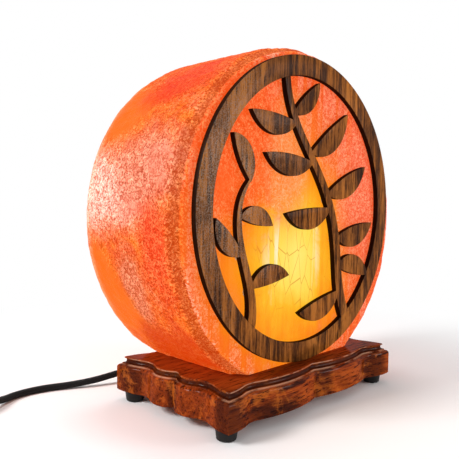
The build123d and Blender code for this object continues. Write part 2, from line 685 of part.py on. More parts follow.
def nipple_nut():
    """The hexagon nut under the bracket."""
    nut = extrude(RegularPolygon(NUT_ACROSS_FLATS / 2, 6, major_radius=False), NUT_HEIGHT)
    nut -= Pos(0, 0, NUT_HEIGHT / 2) * Cylinder(NIPPLE_DIAMETER / 2 + SCREW_CLEARANCE, NUT_HEIGHT + 1)
    return on_bore_axis(nut, holder_z - CLIP_THICKNESS - NUT_HEIGHT)


def clip_side(side):
    """One half of the bracket's side view: the flat under the holder, the bowed arm and its turned-in end."""
    wall = BORE_DIAMETER / 2 - CLIP_WALL_GAP
    reach = side * (math.sqrt(wall**2 - (CLIP_WIDTH / 2) ** 2) - CLIP_THICKNESS / 2)
    start, half = (side * CLIP_PLATE_HALF, -CLIP_THICKNESS / 2), CLIP_THICKNESS / 2
    knee, end = (reach, CLIP_RISE * CLIP_KNEE_SHARE), (reach - side * CLIP_LIP, CLIP_RISE)
    bow = ThreePointArc(start, (reach - side * CLIP_BOW, CLIP_RISE * CLIP_KNEE_SHARE / 3), knee)
    spine = Line((0, -half), start) + bow + Line(knee, end)
    return Plane.XZ * offset(spine, half, side=Side.BOTH, kind=Kind.ARC)


def spring_bracket():
    """One strip of spring steel: a flat under the holder and two arms that bow out to the bore's wall."""
    arms = [extrude(make_face(clip_side(side)), CLIP_WIDTH / 2, both=True) for side in (-1, 1)]
    hole = Cylinder(NIPPLE_DIAMETER / 2 + SCREW_CLEARANCE, 4 * CLIP_THICKNESS)
    return on_bore_axis(arms[0] + arms[1] - hole, holder_z)


def bulb_cap():
    """The bulb's threaded metal cap, open at both ends."""
    return on_bore_axis(threaded_wall(cap_root_radius, CAP_WALL, CAP_HEIGHT, CAP_THREAD_TURNS), cap_bottom)


def bulb_insulator():
    """The dark glass button that closes the cap's lower end."""
    outer, tip, deep, high = cap_root_radius, TIP_DIAMETER / 2, BUTTON_PROUD, BUTTON_IN_CAP
    rim, shoulder = outer + CAP_WALL, tip + BUTTON_SHOULDER
    button = turned((tip, -deep), (shoulder, -deep), (rim, 0), (outer, 0), (outer, high), (tip, high))
    return on_bore_axis(button, cap_bottom)


def bulb_tip():
    """The soldered tip contact in the middle of the button."""
    radius, low, high = TIP_DIAMETER / 2, -TIP_HEIGHT, TIP_ROOT
    tip = turned((0, low), (radius - TIP_ROUND, low), (radius, low + TIP_ROUND), (radius, high), (0, high))
    return on_bore_axis(tip, cap_bottom)


def glass_outline(shrink):
    """The bulb's half outline, drawn in by a wall's thickness: neck, swelling shoulder and round top."""
    neck, ball = GLASS_NECK_DIAMETER / 2 - shrink, GLASS_DIAMETER / 2 - shrink
    middle, bottom = GLASS_HEIGHT - GLASS_DIAMETER / 2, -0.01 if shrink else 0.0
    shoulder = Spline((neck, GLASS_NECK_HEIGHT), (ball, middle), tangents=[(0.35, 1), (0, 1)])
    top = CenterArc((0, middle), ball, 0, 90)
    sides = Polyline((0, bottom), (neck, bottom), (neck, GLASS_NECK_HEIGHT)) + shoulder + top
    return make_face(Plane.XZ * (sides + Line((0, middle + ball), (0, bottom))))


def bulb_glass():
    """The thin glass envelope."""
    return on_bore_axis(
        revolve(glass_outline(0.0), Axis.Z) - revolve(glass_outline(GLASS_WALL), Axis.Z), glass_bottom
    )


def bulb_stem():
    """The glass stem that carries the wires."""
    flare, rod = GLASS_NECK_DIAMETER / 2 - GLASS_WALL - STEM_FLARE_GAP, STEM_DIAMETER / 2
    skirt, top = (flare, STEM_FLARE_FOOT), STEM_HEIGHT
    stem = turned((0, 0), (flare, 0), skirt, (rod, STEM_FLARE_HEIGHT), (rod, top), (0, top))
    return on_bore_axis(stem, glass_bottom)


def bulb_filament():
    """Two support wires and the filament bowed between them, as one bent wire."""
    low, half, high = STEM_HEIGHT + WIRE_DIAMETER / 2, FILAMENT_SPREAD, STEM_HEIGHT + FILAMENT_RISE
    route = [(-FILAMENT_ROOT_SPREAD, 0, low), (-half, 0, low + FILAMENT_ELBOW_RISE)]
    route.append((-half, 0, high - FILAMENT_BOW))
    route += [(0, 0, high)] + [(-x, y, z) for x, y, z in route[::-1]]
    path = FilletPolyline(*route, radius=FILAMENT_BEND_RADIUS)
    wire = sweep(Plane(path @ 0, z_dir=path % 0) * Circle(WIRE_DIAMETER / 2), path)
    return on_bore_axis(wire, glass_bottom)


# ---------------------------------------------------------------- the lead


def corner_radii(points):
    """For each corner of a route, 0.45 of its shorter run over the tangent of half the turn."""
    radii = []
    for before, here, after in zip(points, points[1:], points[2:]):
        one, two = Vector(*here) - Vector(*before), Vector(*after) - Vector(*here)
        half_turn = math.radians(one.get_angle(two)) / 2
        radii.append(0.45 * min(one.length, two.length) / math.tan(half_turn))
    return radii


def lead_tube(points, name):
    """The lead along a route of straight runs joined by tangent arcs."""
    radii = corner_radii(points)
    path = FilletPolyline(*points, radius=radii)
    tube = sweep(Plane(path @ 0, z_dir=path % 0) * Circle(CORD_DIAMETER / 2), path)
    expected = path.length * math.pi * CORD_DIAMETER**2 / 4
    print(f"{name}: length {path.length:.1f}, radii {[round(r, 1) for r in radii]}")
    print(f"{name}: volume {tube.volume:.1f} against section times length {expected:.1f}")
    return tube


def inner_lead():
    """The lead's held stretch: down out of the threaded tube and along the channel to the exit."""
    bend, top = LEAD_BEND_RADIUS, holder_z - NIPPLE_BELOW + LEAD_IN_NIPPLE_FROM
    direction, length = lead_direction()
    corner, end = Vector(0, drum_y, lead_z), Vector(0, drum_y, lead_z) + direction * length
    path = FilletPolyline(Vector(0, drum_y, top), corner, end, radius=bend)
    return sweep(Plane(path @ 0, z_dir=path % 0) * Circle(CORD_DIAMETER / 2), path)


def holder_lead():
    """The lead's last stretch, inside the threaded tube and the cup, split from the stretch below it."""
    low, high = holder_z - NIPPLE_BELOW + LEAD_IN_NIPPLE_FROM, holder_z + HOLDER_WALL + LEAD_END_ABOVE_FLOOR
    return on_bore_axis(extrude(Circle(CORD_DIAMETER / 2), high - low), low)


def lead_clamp():
    """The bar under the board that grips the lead in its channel."""
    bar = fillet(Box(CLAMP_WIDTH, CLAMP_LENGTH, CLAMP_THICKNESS).edges().filter_by(Axis.Z), CLAMP_CORNER)
    for side in (-1, 1):
        bar -= Pos(0, side * CLAMP_SCREW_SPACING / 2, 0) * Cylinder(
            SCREW_SHANK_DIAMETER / 2 + SCREW_CLEARANCE, CLAMP_THICKNESS + 1
        )
    return along_lead(clamp_distance(), board_bottom - CLAMP_THICKNESS / 2) * bar


def clamp_screws():
    """The clamp's two screws."""
    seat = board_bottom - CLAMP_THICKNESS
    return [place * pan_screw(CLAMP_SCREW_LENGTH) for place in clamp_screw_planes(seat)]


def mains_lead():
    """The free lead from the board's back edge to the dimmer."""
    return lead_tube(LEAD_ROUTE, "mains_lead")


# ---------------------------------------------------------------- dimmer


def plane_after(route):
    """A level plane at a route's end, X along its last run."""
    before, end = Vector(*route[-2]), Vector(*route[-1])
    heading = Vector(end.X - before.X, end.Y - before.Y, 0).normalized()
    return Plane(origin=end, x_dir=heading, z_dir=(0, 0, 1))


def dimmer_plane():
    """The dimmer's middle at its seam: X along the lead, away from the lamp, and Z up."""
    return plane_after(LEAD_ROUTE) * Pos(SLEEVE_LENGTH + DIMMER_LENGTH / 2, 0, 0)


def upright(diameter, height):
    """A post standing on the origin."""
    return extrude(Circle(diameter / 2), height)


def both_screw_places():
    """The dimmer's two screw places, one near each end."""
    return [Pos(side * DIMMER_SCREW_SPACING / 2, 0, 0) for side in (-1, 1)]


def dimmer_half(height):
    """Half of the dimmer's hollow housing with its two screw posts, standing on its open side."""
    plan = SlotOverall(DIMMER_LENGTH, DIMMER_WIDTH)
    block = extrude(plan, height)
    block = fillet(block.edges().group_by(Axis.Z)[-1], DIMMER_EDGE_ROUND)
    half = block - extrude(offset(plan, -DIMMER_WALL), height - DIMMER_WALL)
    for place in both_screw_places():
        half += place * upright(DIMMER_POST_DIAMETER, height - DIMMER_WALL / 2)
        half -= place * Cylinder(SCREW_SHANK_DIAMETER / 2 + SCREW_CLEARANCE, 2 * DIMMER_SCREW_LENGTH)
    sleeves = Rot(0, 90, 0) * Cylinder(SLEEVE_ROOT_DIAMETER / 2 + SCREW_CLEARANCE, 2 * DIMMER_LENGTH)
    return half - sleeves


def wheel_place():
    """The wheel's middle in the dimmer's plane."""
    return Pos(0, DIMMER_WIDTH / 2 + WHEEL_PROUD - WHEEL_DIAMETER / 2, WHEEL_LIFT)


def wheel_slot():
    """The room that the wheel turns in, cut through the housing's side."""
    gap = WHEEL_SLOT_CLEARANCE
    return wheel_place() * Cylinder(WHEEL_DIAMETER / 2 + gap, WHEEL_THICKNESS + 2 * gap)


def dimmer_seam_height():
    """The seam's height above the table: the lead's own height where it enters."""
    return LEAD_ROUTE[-1][2]


def dimmer_cover():
    """The housing's upper half."""
    half = dimmer_half(DIMMER_HEIGHT - dimmer_seam_height() - DIMMER_SEAM_GAP / 2)
    return dimmer_plane() * (Pos(0, 0, DIMMER_SEAM_GAP / 2) * half - wheel_slot())


def dimmer_base():
    """The housing's lower half, with wells for its screws."""
    height = dimmer_seam_height() - DIMMER_SEAM_GAP / 2
    half = Pos(0, 0, -DIMMER_SEAM_GAP / 2) * Rot(180, 0, 0) * dimmer_half(height)
    for place in both_screw_places():
        well = Cylinder(SCREW_HEAD_DIAMETER / 2 + DIMMER_WELL_CLEARANCE, 2 * DIMMER_WELL_DEPTH)
        half -= place * Pos(0, 0, -dimmer_seam_height()) * well
        half -= place * Cylinder(SCREW_SHANK_DIAMETER / 2 + SCREW_CLEARANCE, 3 * height)
    return dimmer_plane() * (half - wheel_slot())


def dimmer_screws():
    """The two screws up through the base into the cover's posts."""
    seat = Pos(0, 0, DIMMER_WELL_DEPTH - dimmer_seam_height())
    return [dimmer_plane() * place * seat * pan_screw(DIMMER_SCREW_LENGTH) for place in both_screw_places()]


def dimmer_wheel():
    """The thumb wheel, notched round its edge, on the potentiometer's spindle."""
    wheel = extrude(Circle(WHEEL_DIAMETER / 2), WHEEL_THICKNESS / 2, both=True)
    wheel = chamfer(wheel.edges().filter_by(GeomType.CIRCLE), 0.5)
    notch = Pos(WHEEL_DIAMETER / 2, 0, 0) * Cylinder(WHEEL_NOTCH_DIAMETER / 2, WHEEL_THICKNESS + 1)
    for i in range(WHEEL_NOTCHES):
        wheel -= Rot(0, 0, 360 / WHEEL_NOTCHES * i) * notch
    wheel -= Cylinder(SPINDLE_DIAMETER / 2 + SPINDLE_CLEARANCE, WHEEL_THICKNESS + 1)
    return dimmer_plane() * wheel_place() * wheel


def circuit_top():
    """The circuit board's top face below the seam."""
    return -dimmer_seam_height() + DIMMER_WALL + CIRCUIT_LIFT + CIRCUIT_THICKNESS


def dimmer_circuit():
    """The circuit board on four stand-offs."""
    sheet = Pos(0, 0, circuit_top() - CIRCUIT_THICKNESS) * extrude(
        RectangleRounded(CIRCUIT_LENGTH, CIRCUIT_WIDTH, CIRCUIT_CORNER), CIRCUIT_THICKNESS
    )
    for x in (-1, 1):
        for y in (-1, 1):
            across, up = CIRCUIT_WIDTH / 2 - STAND_OFF_FROM_SIDE, DIMMER_WALL - dimmer_seam_height()
            place = Pos(x * (CIRCUIT_LENGTH / 2 - STAND_OFF_FROM_END), y * across, up)
            sheet += place * upright(STAND_OFF_DIAMETER, CIRCUIT_LIFT)
    return dimmer_plane() * sheet


def potentiometer():
    """The potentiometer under the wheel, its spindle standing through the wheel's hub."""
    low, across = circuit_top(), wheel_place().position.Y
    high = WHEEL_LIFT - WHEEL_THICKNESS / 2 - POT_BELOW_WHEEL
    body = Pos(0, across - POT_SET_BACK, (low + high) / 2) * Box(POT_LENGTH, POT_WIDTH, high - low)
    reach = POT_BELOW_WHEEL + WHEEL_THICKNESS + SPINDLE_PROUD
    spindle = Pos(0, across, high) * upright(SPINDLE_DIAMETER, reach)
    return dimmer_plane() * (body + spindle)


def dimmer_components():
    """The parts soldered to the circuit board round the wheel: two terminal blocks, a switch, a capacitor."""
    standing = (Align.CENTER, Align.CENTER, Align.MIN)
    terminal, switch = Box(*TERMINAL_BLOCK, align=standing), Box(*POWER_SWITCH, align=standing)
    capacitor = Box(*CAPACITOR, align=standing)
    capacitor = fillet(capacitor.edges().group_by(Axis.Z)[-1], CAPACITOR_ROUND)
    beside = WHEEL_DIAMETER / 2 + TERMINAL_BLOCK_GAP + TERMINAL_BLOCK[0] / 2
    edge = wheel_place().position.Y - WHEEL_DIAMETER / 2 - COMPONENT_CLEARANCE
    places = [(side * beside, TERMINAL_BLOCK_ACROSS, terminal) for side in (-1, 1)]
    places.append((-(COMPONENT_GAP + POWER_SWITCH[0]) / 2, edge - POWER_SWITCH[1] / 2, switch))
    places.append(((COMPONENT_GAP + CAPACITOR[0]) / 2, edge - CAPACITOR[1] / 2, capacitor))
    return [dimmer_plane() * Pos(x, y, circuit_top()) * shape for x, y, shape in places]


def tapered_sleeve(length, plane):
    """A ribbed strain relief, from its thick root at the plane's origin to the lead, along the plane's X."""
    root, tip = SLEEVE_ROOT_DIAMETER / 2, SLEEVE_TIP_DIAMETER / 2
    outline = [(0, -SLEEVE_SEAT), (root, -SLEEVE_SEAT), (root, SLEEVE_ROOT_LAND)]
    slope = (root - tip) / (length - SLEEVE_ROOT_LAND)
    step = (length - SLEEVE_ROOT_LAND - SLEEVE_TIP_LAND) / SLEEVE_RINGS
    for i in range(SLEEVE_RINGS):
        for share, depth in ((0.25, 0), (0.4, SLEEVE_RING_DEPTH), (0.85, SLEEVE_RING_DEPTH), (1.0, 0)):
            along = (i + share) * step
            outline.append((root - slope * along - depth, SLEEVE_ROOT_LAND + along))
    outline += [(tip, length), (0, length)]
    return plane * Rot(0, 90, 0) * turned(*outline)


def dimmer_sleeves():
    """The strain reliefs at the dimmer's two ends."""
    to_end = Pos(DIMMER_LENGTH / 2, 0, 0)
    return [tapered_sleeve(SLEEVE_LENGTH, dimmer_plane() * Rot(0, 0, turn) * to_end) for turn in (0, 180)]


# ---------------------------------------------------------------- coil


def coil_station(turn):
    """The coil's centre line after so many turns from its start: the point and its unit tangent."""
    inner = COIL_OUTER_RADIUS - COIL_PITCH * COIL_TURNS_IN
    height, height_rate = 0.0, 0.0
    if turn <= COIL_TURNS_IN:
        radius, rate = COIL_OUTER_RADIUS - COIL_PITCH * turn, -COIL_PITCH
    elif turn <= COIL_TURNS_IN + COIL_TURNS_CLIMB:
        share = (turn - COIL_TURNS_IN) / COIL_TURNS_CLIMB
        radius = inner - COIL_PITCH * COIL_TURNS_CLIMB * (share - share**2)
        rate = -COIL_PITCH * (1 - 2 * share)
        height = COIL_LAYER_RISE * (1 - math.cos(math.pi * share)) / 2
        height_rate = COIL_LAYER_RISE * math.pi / 2 * math.sin(math.pi * share) / COIL_TURNS_CLIMB
    else:
        radius, rate = inner + COIL_PITCH * (turn - COIL_TURNS_IN - COIL_TURNS_CLIMB), COIL_PITCH
        height = COIL_LAYER_RISE
    angle = math.radians(COIL_START_ANGLE) + 2 * math.pi * turn
    out, round_ = Vector(math.cos(angle), math.sin(angle), 0), Vector(-math.sin(angle), math.cos(angle), 0)
    point = Vector(*COIL_CENTRE, coil_z + height) + out * radius
    return point, (out * rate + round_ * (2 * math.pi * radius) + Vector(0, 0, height_rate)).normalized()


def biarc(start, start_way, end, end_way):
    """Two arcs that leave one point along one way and reach another along another."""
    chord, ways = end - start, start_way + end_way
    a, b, c = ways.dot(ways) - 4, -2 * chord.dot(ways), chord.dot(chord)
    reach = (-b - math.sqrt(b * b - 4 * a * c)) / (2 * a)
    middle = (start + start_way * reach + end - end_way * reach) / 2
    first = TangentArc(start, middle, tangent=start_way)
    return [first, TangentArc(middle, end, tangent=first % 1)]


def coil_turns():
    """How many turns the coil has."""
    return COIL_TURNS_IN + COIL_TURNS_CLIMB + COIL_TURNS_OUT


def coil_ends():
    """The outer ends of the coil's straight stubs."""
    (start, start_way), (end, end_way) = coil_station(0), coil_station(coil_turns())
    return start - start_way * CORD_DIAMETER, end + end_way * CORD_DIAMETER


def cord_coil():
    """The put-away turns of the lead, one unbroken tube with a straight stub at each end."""
    steps = round(coil_turns() * COIL_STEPS_PER_TURN)
    stations = [coil_station(coil_turns() * i / steps) for i in range(steps + 1)]
    first, last = coil_ends()
    edges = [Line(first, stations[0][0])]
    for (start, start_way), (end, end_way) in zip(stations, stations[1:]):
        edges += biarc(start, start_way, end, end_way)
    path = Wire([edge for curve in [*edges, Line(stations[-1][0], last)] for edge in curve.edges()])
    coil = sweep(Plane(path @ 0, z_dir=path % 0) * Circle(CORD_DIAMETER / 2), path)
    print(f"cord_coil: length {path.length:.1f}, least gap {coil_gap(path):.2f}")
    print(f"cord_coil: volume {coil.volume:.1f} against {path.length * math.pi * CORD_DIAMETER**2 / 4:.1f}")
    return coil


def coil_gap(path):
    """The least gap between the coil's turns, measured on points along its centre line."""
    count = int(path.length / 2.0)
    points = [path @ (i / count) for i in range(count + 1)]
    places = [(point.X, point.Y, point.Z) for point in points]
    apart = int(COIL_OUTER_RADIUS / 2)
    return min(math.dist(a, b) for i, a in enumerate(places) for b in places[i + apart :]) - CORD_DIAMETER


def coil_tie():
    """The strap round the turns at one place."""
    inner = COIL_OUTER_RADIUS - COIL_PITCH * (COIL_TURNS_IN + COIL_TURNS_CLIMB / 4)
    low, high = inner - CORD_DIAMETER / 2 - TIE_CLEARANCE, COIL_OUTER_RADIUS + CORD_DIAMETER / 2
    top = coil_z + COIL_LAYER_RISE + CORD_DIAMETER / 2 + 2 * TIE_LINING_GAP
    middle = Pos((low + high) / 2, (TIE_THICKNESS + top) / 2)
    hole = middle * RectangleRounded(high - low, top - TIE_THICKNESS, TIE_CORNER)
    band = extrude(Plane.XZ * (offset(hole, TIE_THICKNESS) - hole), TIE_WIDTH / 2, both=True)
    return Pos(*COIL_CENTRE, 0) * Rot(0, 0, TIE_ANGLE) * band


def feed_route():
    """From the dimmer's far sleeve to the coil."""
    start = (dimmer_plane() * Pos(DIMMER_LENGTH / 2 + SLEEVE_LENGTH, 0, 0)).position
    return [tuple(start), *FEED_BENDS, tuple(coil_ends()[0])]


def tail_route():
    """From the coil to the plug."""
    return [tuple(coil_ends()[1]), *TAIL_BENDS]


# ---------------------------------------------------------------- plug


def plug_plane():
    """The plug body's rear face: X along the lead towards the pins, Z up."""
    return plane_after(tail_route()) * Pos(PLUG_SLEEVE_LENGTH, 0, 0)


def plug_pin_places():
    """The two pins' places on the plug's front face."""
    return [Pos(PLUG_LENGTH, side * PIN_SPACING / 2, 0) * Rot(0, 90, 0) for side in (-1, 1)]


def plug_body():
    """The moulded body: an oval front drawn in to the lead behind."""
    front, rear, waist = PLUG_WIDTH / 2, PLUG_REAR_WIDTH / 2, (PLUG_WAIST_FROM_REAR, PLUG_WAIST_WIDTH / 2)
    side = Spline((0, rear), waist, (PLUG_LENGTH, front), tangents=[(1, 0.25), (1, 0)])
    other = side.mirror(Plane.XZ)
    ends = Line(side @ 0, other @ 0) + Line(side @ 1, other @ 1)
    plan = make_face([*side.edges(), *other.edges(), *ends.edges()])
    body = Pos(0, 0, -PLUG_THICKNESS / 2) * extrude(plan, PLUG_THICKNESS)
    body = fillet(body.edges().filter_by(Plane.XY), PLUG_EDGE_ROUND)
    seat = Cylinder(SLEEVE_ROOT_DIAMETER / 2 + SCREW_CLEARANCE, 2 * (SLEEVE_SEAT + SCREW_CLEARANCE))
    body -= Rot(0, 90, 0) * seat
    for place in plug_pin_places():
        body -= place * Pos(0, 0, -PIN_ROOT) * upright(PIN_SLEEVE_DIAMETER, PIN_ROOT + 1)
    return plug_plane() * body


def plug_pins():
    """The two pins: a slim root inside the sleeve and a full tip with a round end."""
    root, tip = PIN_SLEEVE_DIAMETER / 2 - PIN_SLEEVE_WALL, PIN_DIAMETER / 2
    pin = turned(
        (0, -PIN_ROOT),
        (root, -PIN_ROOT),
        (root, PIN_SLEEVE_LENGTH),
        (tip, PIN_SLEEVE_LENGTH),
        (tip, PIN_LENGTH - PIN_TIP_ROUND),
        (tip - PIN_TIP_ROUND, PIN_LENGTH),
        (0, PIN_LENGTH),
    )
    return [plug_plane() * place * pin for place in plug_pin_places()]


def pin_sleeves():
    """The insulating sleeves on the pins' roots."""
    bore = PIN_SLEEVE_DIAMETER - 2 * PIN_SLEEVE_WALL
    sleeve = straight_tube(PIN_SLEEVE_DIAMETER, bore, PIN_ROOT + PIN_SLEEVE_LENGTH)
    return [plug_plane() * place * Pos(0, 0, -PIN_ROOT) * sleeve for place in plug_pin_places()]


def plug_sleeve():
    """The plug's strain relief."""
    return tapered_sleeve(PLUG_SLEEVE_LENGTH, plug_plane() * Rot(0, 0, 180))


def main():
    """Builds every piece and writes one file for each."""
    os.makedirs("parts", exist_ok=True)
    pieces = {
        "salt_drum": salt_drum(),
        "drum_bond": drum_bond(),
        "base_plate": base_plate(),
        "ring_frame": ring_frame(),
        "bough_fretwork": bough_fretwork(),
        "glue_dots": glue_dots(),
        "foot_screws": foot_screws(),
        "holder_cap": holder_cap(),
        "holder_skirt": holder_skirt(),
        "holder_insert": holder_insert(),
        "screw_shell": screw_shell(),
        "centre_contact": centre_contact(),
        "terminal_screws": terminal_screws(),
        "holder_nipple": holder_nipple(),
        "nipple_nut": nipple_nut(),
        "spring_bracket": spring_bracket(),
        "bulb_cap": bulb_cap(),
        "bulb_insulator": bulb_insulator(),
        "bulb_tip": bulb_tip(),
        "bulb_glass": bulb_glass(),
        "bulb_stem": bulb_stem(),
        "bulb_filament": bulb_filament(),
        "inner_lead": inner_lead(),
        "holder_lead": holder_lead(),
        "holder_wires": holder_wires(),
        "lead_clamp": lead_clamp(),
        "clamp_screws": clamp_screws(),
        "mains_lead": mains_lead(),
        "dimmer_base": dimmer_base(),
        "dimmer_cover": dimmer_cover(),
        "dimmer_screws": dimmer_screws(),
        "dimmer_wheel": dimmer_wheel(),
        "dimmer_circuit": dimmer_circuit(),
        "potentiometer": potentiometer(),
        "dimmer_components": dimmer_components(),
        "dimmer_sleeves": dimmer_sleeves(),
        "coil_feed": lead_tube(feed_route(), "coil_feed"),
        "cord_coil": cord_coil(),
        "coil_tie": coil_tie(),
        "plug_lead": lead_tube(tail_route(), "plug_lead"),
        "plug_sleeve": plug_sleeve(),
        "plug_body": plug_body(),
        "plug_pins": plug_pins(),
        "pin_sleeves": pin_sleeves(),
    }
    for name, (x, y) in foot_places().items():
        pieces[name] = Pos(x, y, 0) * foot()
    for name, shape in pieces.items():
        group = shape if isinstance(shape, list) else [shape]
        solids = [solid for one in group for solid in one.solids()]
        export_step(Compound(label=name, children=solids), f"parts/{name}.step")


if __name__ == "__main__":
    main()
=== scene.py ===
"""Looks of the salt crystal lamp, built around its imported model.

Sizes are in metres in the model's own frame: +Z up, the fretwork faces -Y, the origin on the table. The
lead's routes are in millimetres.
"""

import json
import logging
import math
from collections.abc import Callable, Iterable
from dataclasses import dataclass
from enum import Enum
from itertools import accumulate

import bmesh
import bpy
from mathutils import Euler, Matrix, Vector, noise


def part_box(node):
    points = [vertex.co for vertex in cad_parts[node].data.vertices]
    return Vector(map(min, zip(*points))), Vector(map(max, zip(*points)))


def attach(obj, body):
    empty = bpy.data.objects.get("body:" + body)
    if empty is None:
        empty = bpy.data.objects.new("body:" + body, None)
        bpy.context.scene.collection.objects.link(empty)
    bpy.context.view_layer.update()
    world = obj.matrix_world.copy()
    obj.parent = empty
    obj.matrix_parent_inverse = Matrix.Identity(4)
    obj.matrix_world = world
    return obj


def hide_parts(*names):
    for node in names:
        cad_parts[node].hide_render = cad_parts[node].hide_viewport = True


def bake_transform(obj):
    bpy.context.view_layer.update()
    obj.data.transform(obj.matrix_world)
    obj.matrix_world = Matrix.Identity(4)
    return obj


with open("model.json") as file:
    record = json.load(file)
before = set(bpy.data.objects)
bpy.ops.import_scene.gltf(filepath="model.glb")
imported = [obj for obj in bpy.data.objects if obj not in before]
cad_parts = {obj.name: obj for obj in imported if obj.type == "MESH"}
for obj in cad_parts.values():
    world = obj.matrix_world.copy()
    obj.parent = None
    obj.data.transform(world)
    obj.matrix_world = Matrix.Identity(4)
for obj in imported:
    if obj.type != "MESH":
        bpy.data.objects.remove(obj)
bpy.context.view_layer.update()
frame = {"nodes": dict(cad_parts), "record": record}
LOG = logging.getLogger("salt_lamp")
MM = 0.001

Point = tuple[float, float, float]
Colour = tuple[float, float, float]
Pair = tuple[float, float]
WHITE: Colour = (1.0, 1.0, 1.0)
BLACK: Colour = (0.0, 0.0, 0.0)


# ---- shader graphs


def math_node(operation: str) -> Callable[..., "Signal"]:
    """A method of Signal that adds one Math node.

    Args:
        operation: The Math node's operation.

    Returns:
        The method, which takes the other value and returns the node's result.
    """

    def method(self: "Signal", other: "Signal | float") -> "Signal":
        """The node's result."""
        return self.math(operation, other)

    return method


class Signal:
    """One value or colour in a material's graph, with the usual operators for values."""

    def __init__(self, graph: "Graph", socket: bpy.types.NodeSocket) -> None:
        """Wraps one of the graph's output sockets."""
        self.graph, self.socket = graph, socket

    def math(self, operation: str, *others: "Signal | float") -> "Signal":
        """Adds a Math node with this signal first, and the others after it."""
        return self.graph.add("ShaderNodeMath", {"operation": operation}, dict(enumerate((self, *others))))

    __add__ = __radd__ = math_node("ADD")
    __mul__ = __rmul__ = math_node("MULTIPLY")
    __sub__ = math_node("SUBTRACT")
    __truediv__ = math_node("DIVIDE")
    __pow__ = math_node("POWER")
    least = math_node("MINIMUM")
    most = math_node("MAXIMUM")

    def __rsub__(self, other: float) -> "Signal":
        """A number less this signal."""
        return (self * -1.0) + other

    def __abs__(self) -> "Signal":
        """The value without its sign."""
        return self.math("ABSOLUTE")

    def towards(self, other: "Signal | float", share: "Signal") -> "Signal":
        """This value, moved to another by a share."""
        return self + (other - self) * share

    def rise(self, low: float, high: float) -> "Signal":
        """A smooth step over the value.

        Args:
            low: Where the step is at 0.
            high: Where it is at 1, which may be the lower number.

        Returns:
            The step's height.
        """
        inputs = {"Value": self, "From Min": min(low, high), "From Max": max(low, high)}
        step = self.graph.add("ShaderNodeMapRange", {"interpolation_type": "SMOOTHSTEP"}, inputs)
        return step if low < high else 1.0 - step


def linear(red: int, green: int, blue: int) -> Colour:
    """A colour given as it looks on a screen, 0 to 255, as light."""
    return tuple(((c / 255 + 0.055) / 1.055) ** 2.4 if c > 10 else c / 3294.6 for c in (red, green, blue))


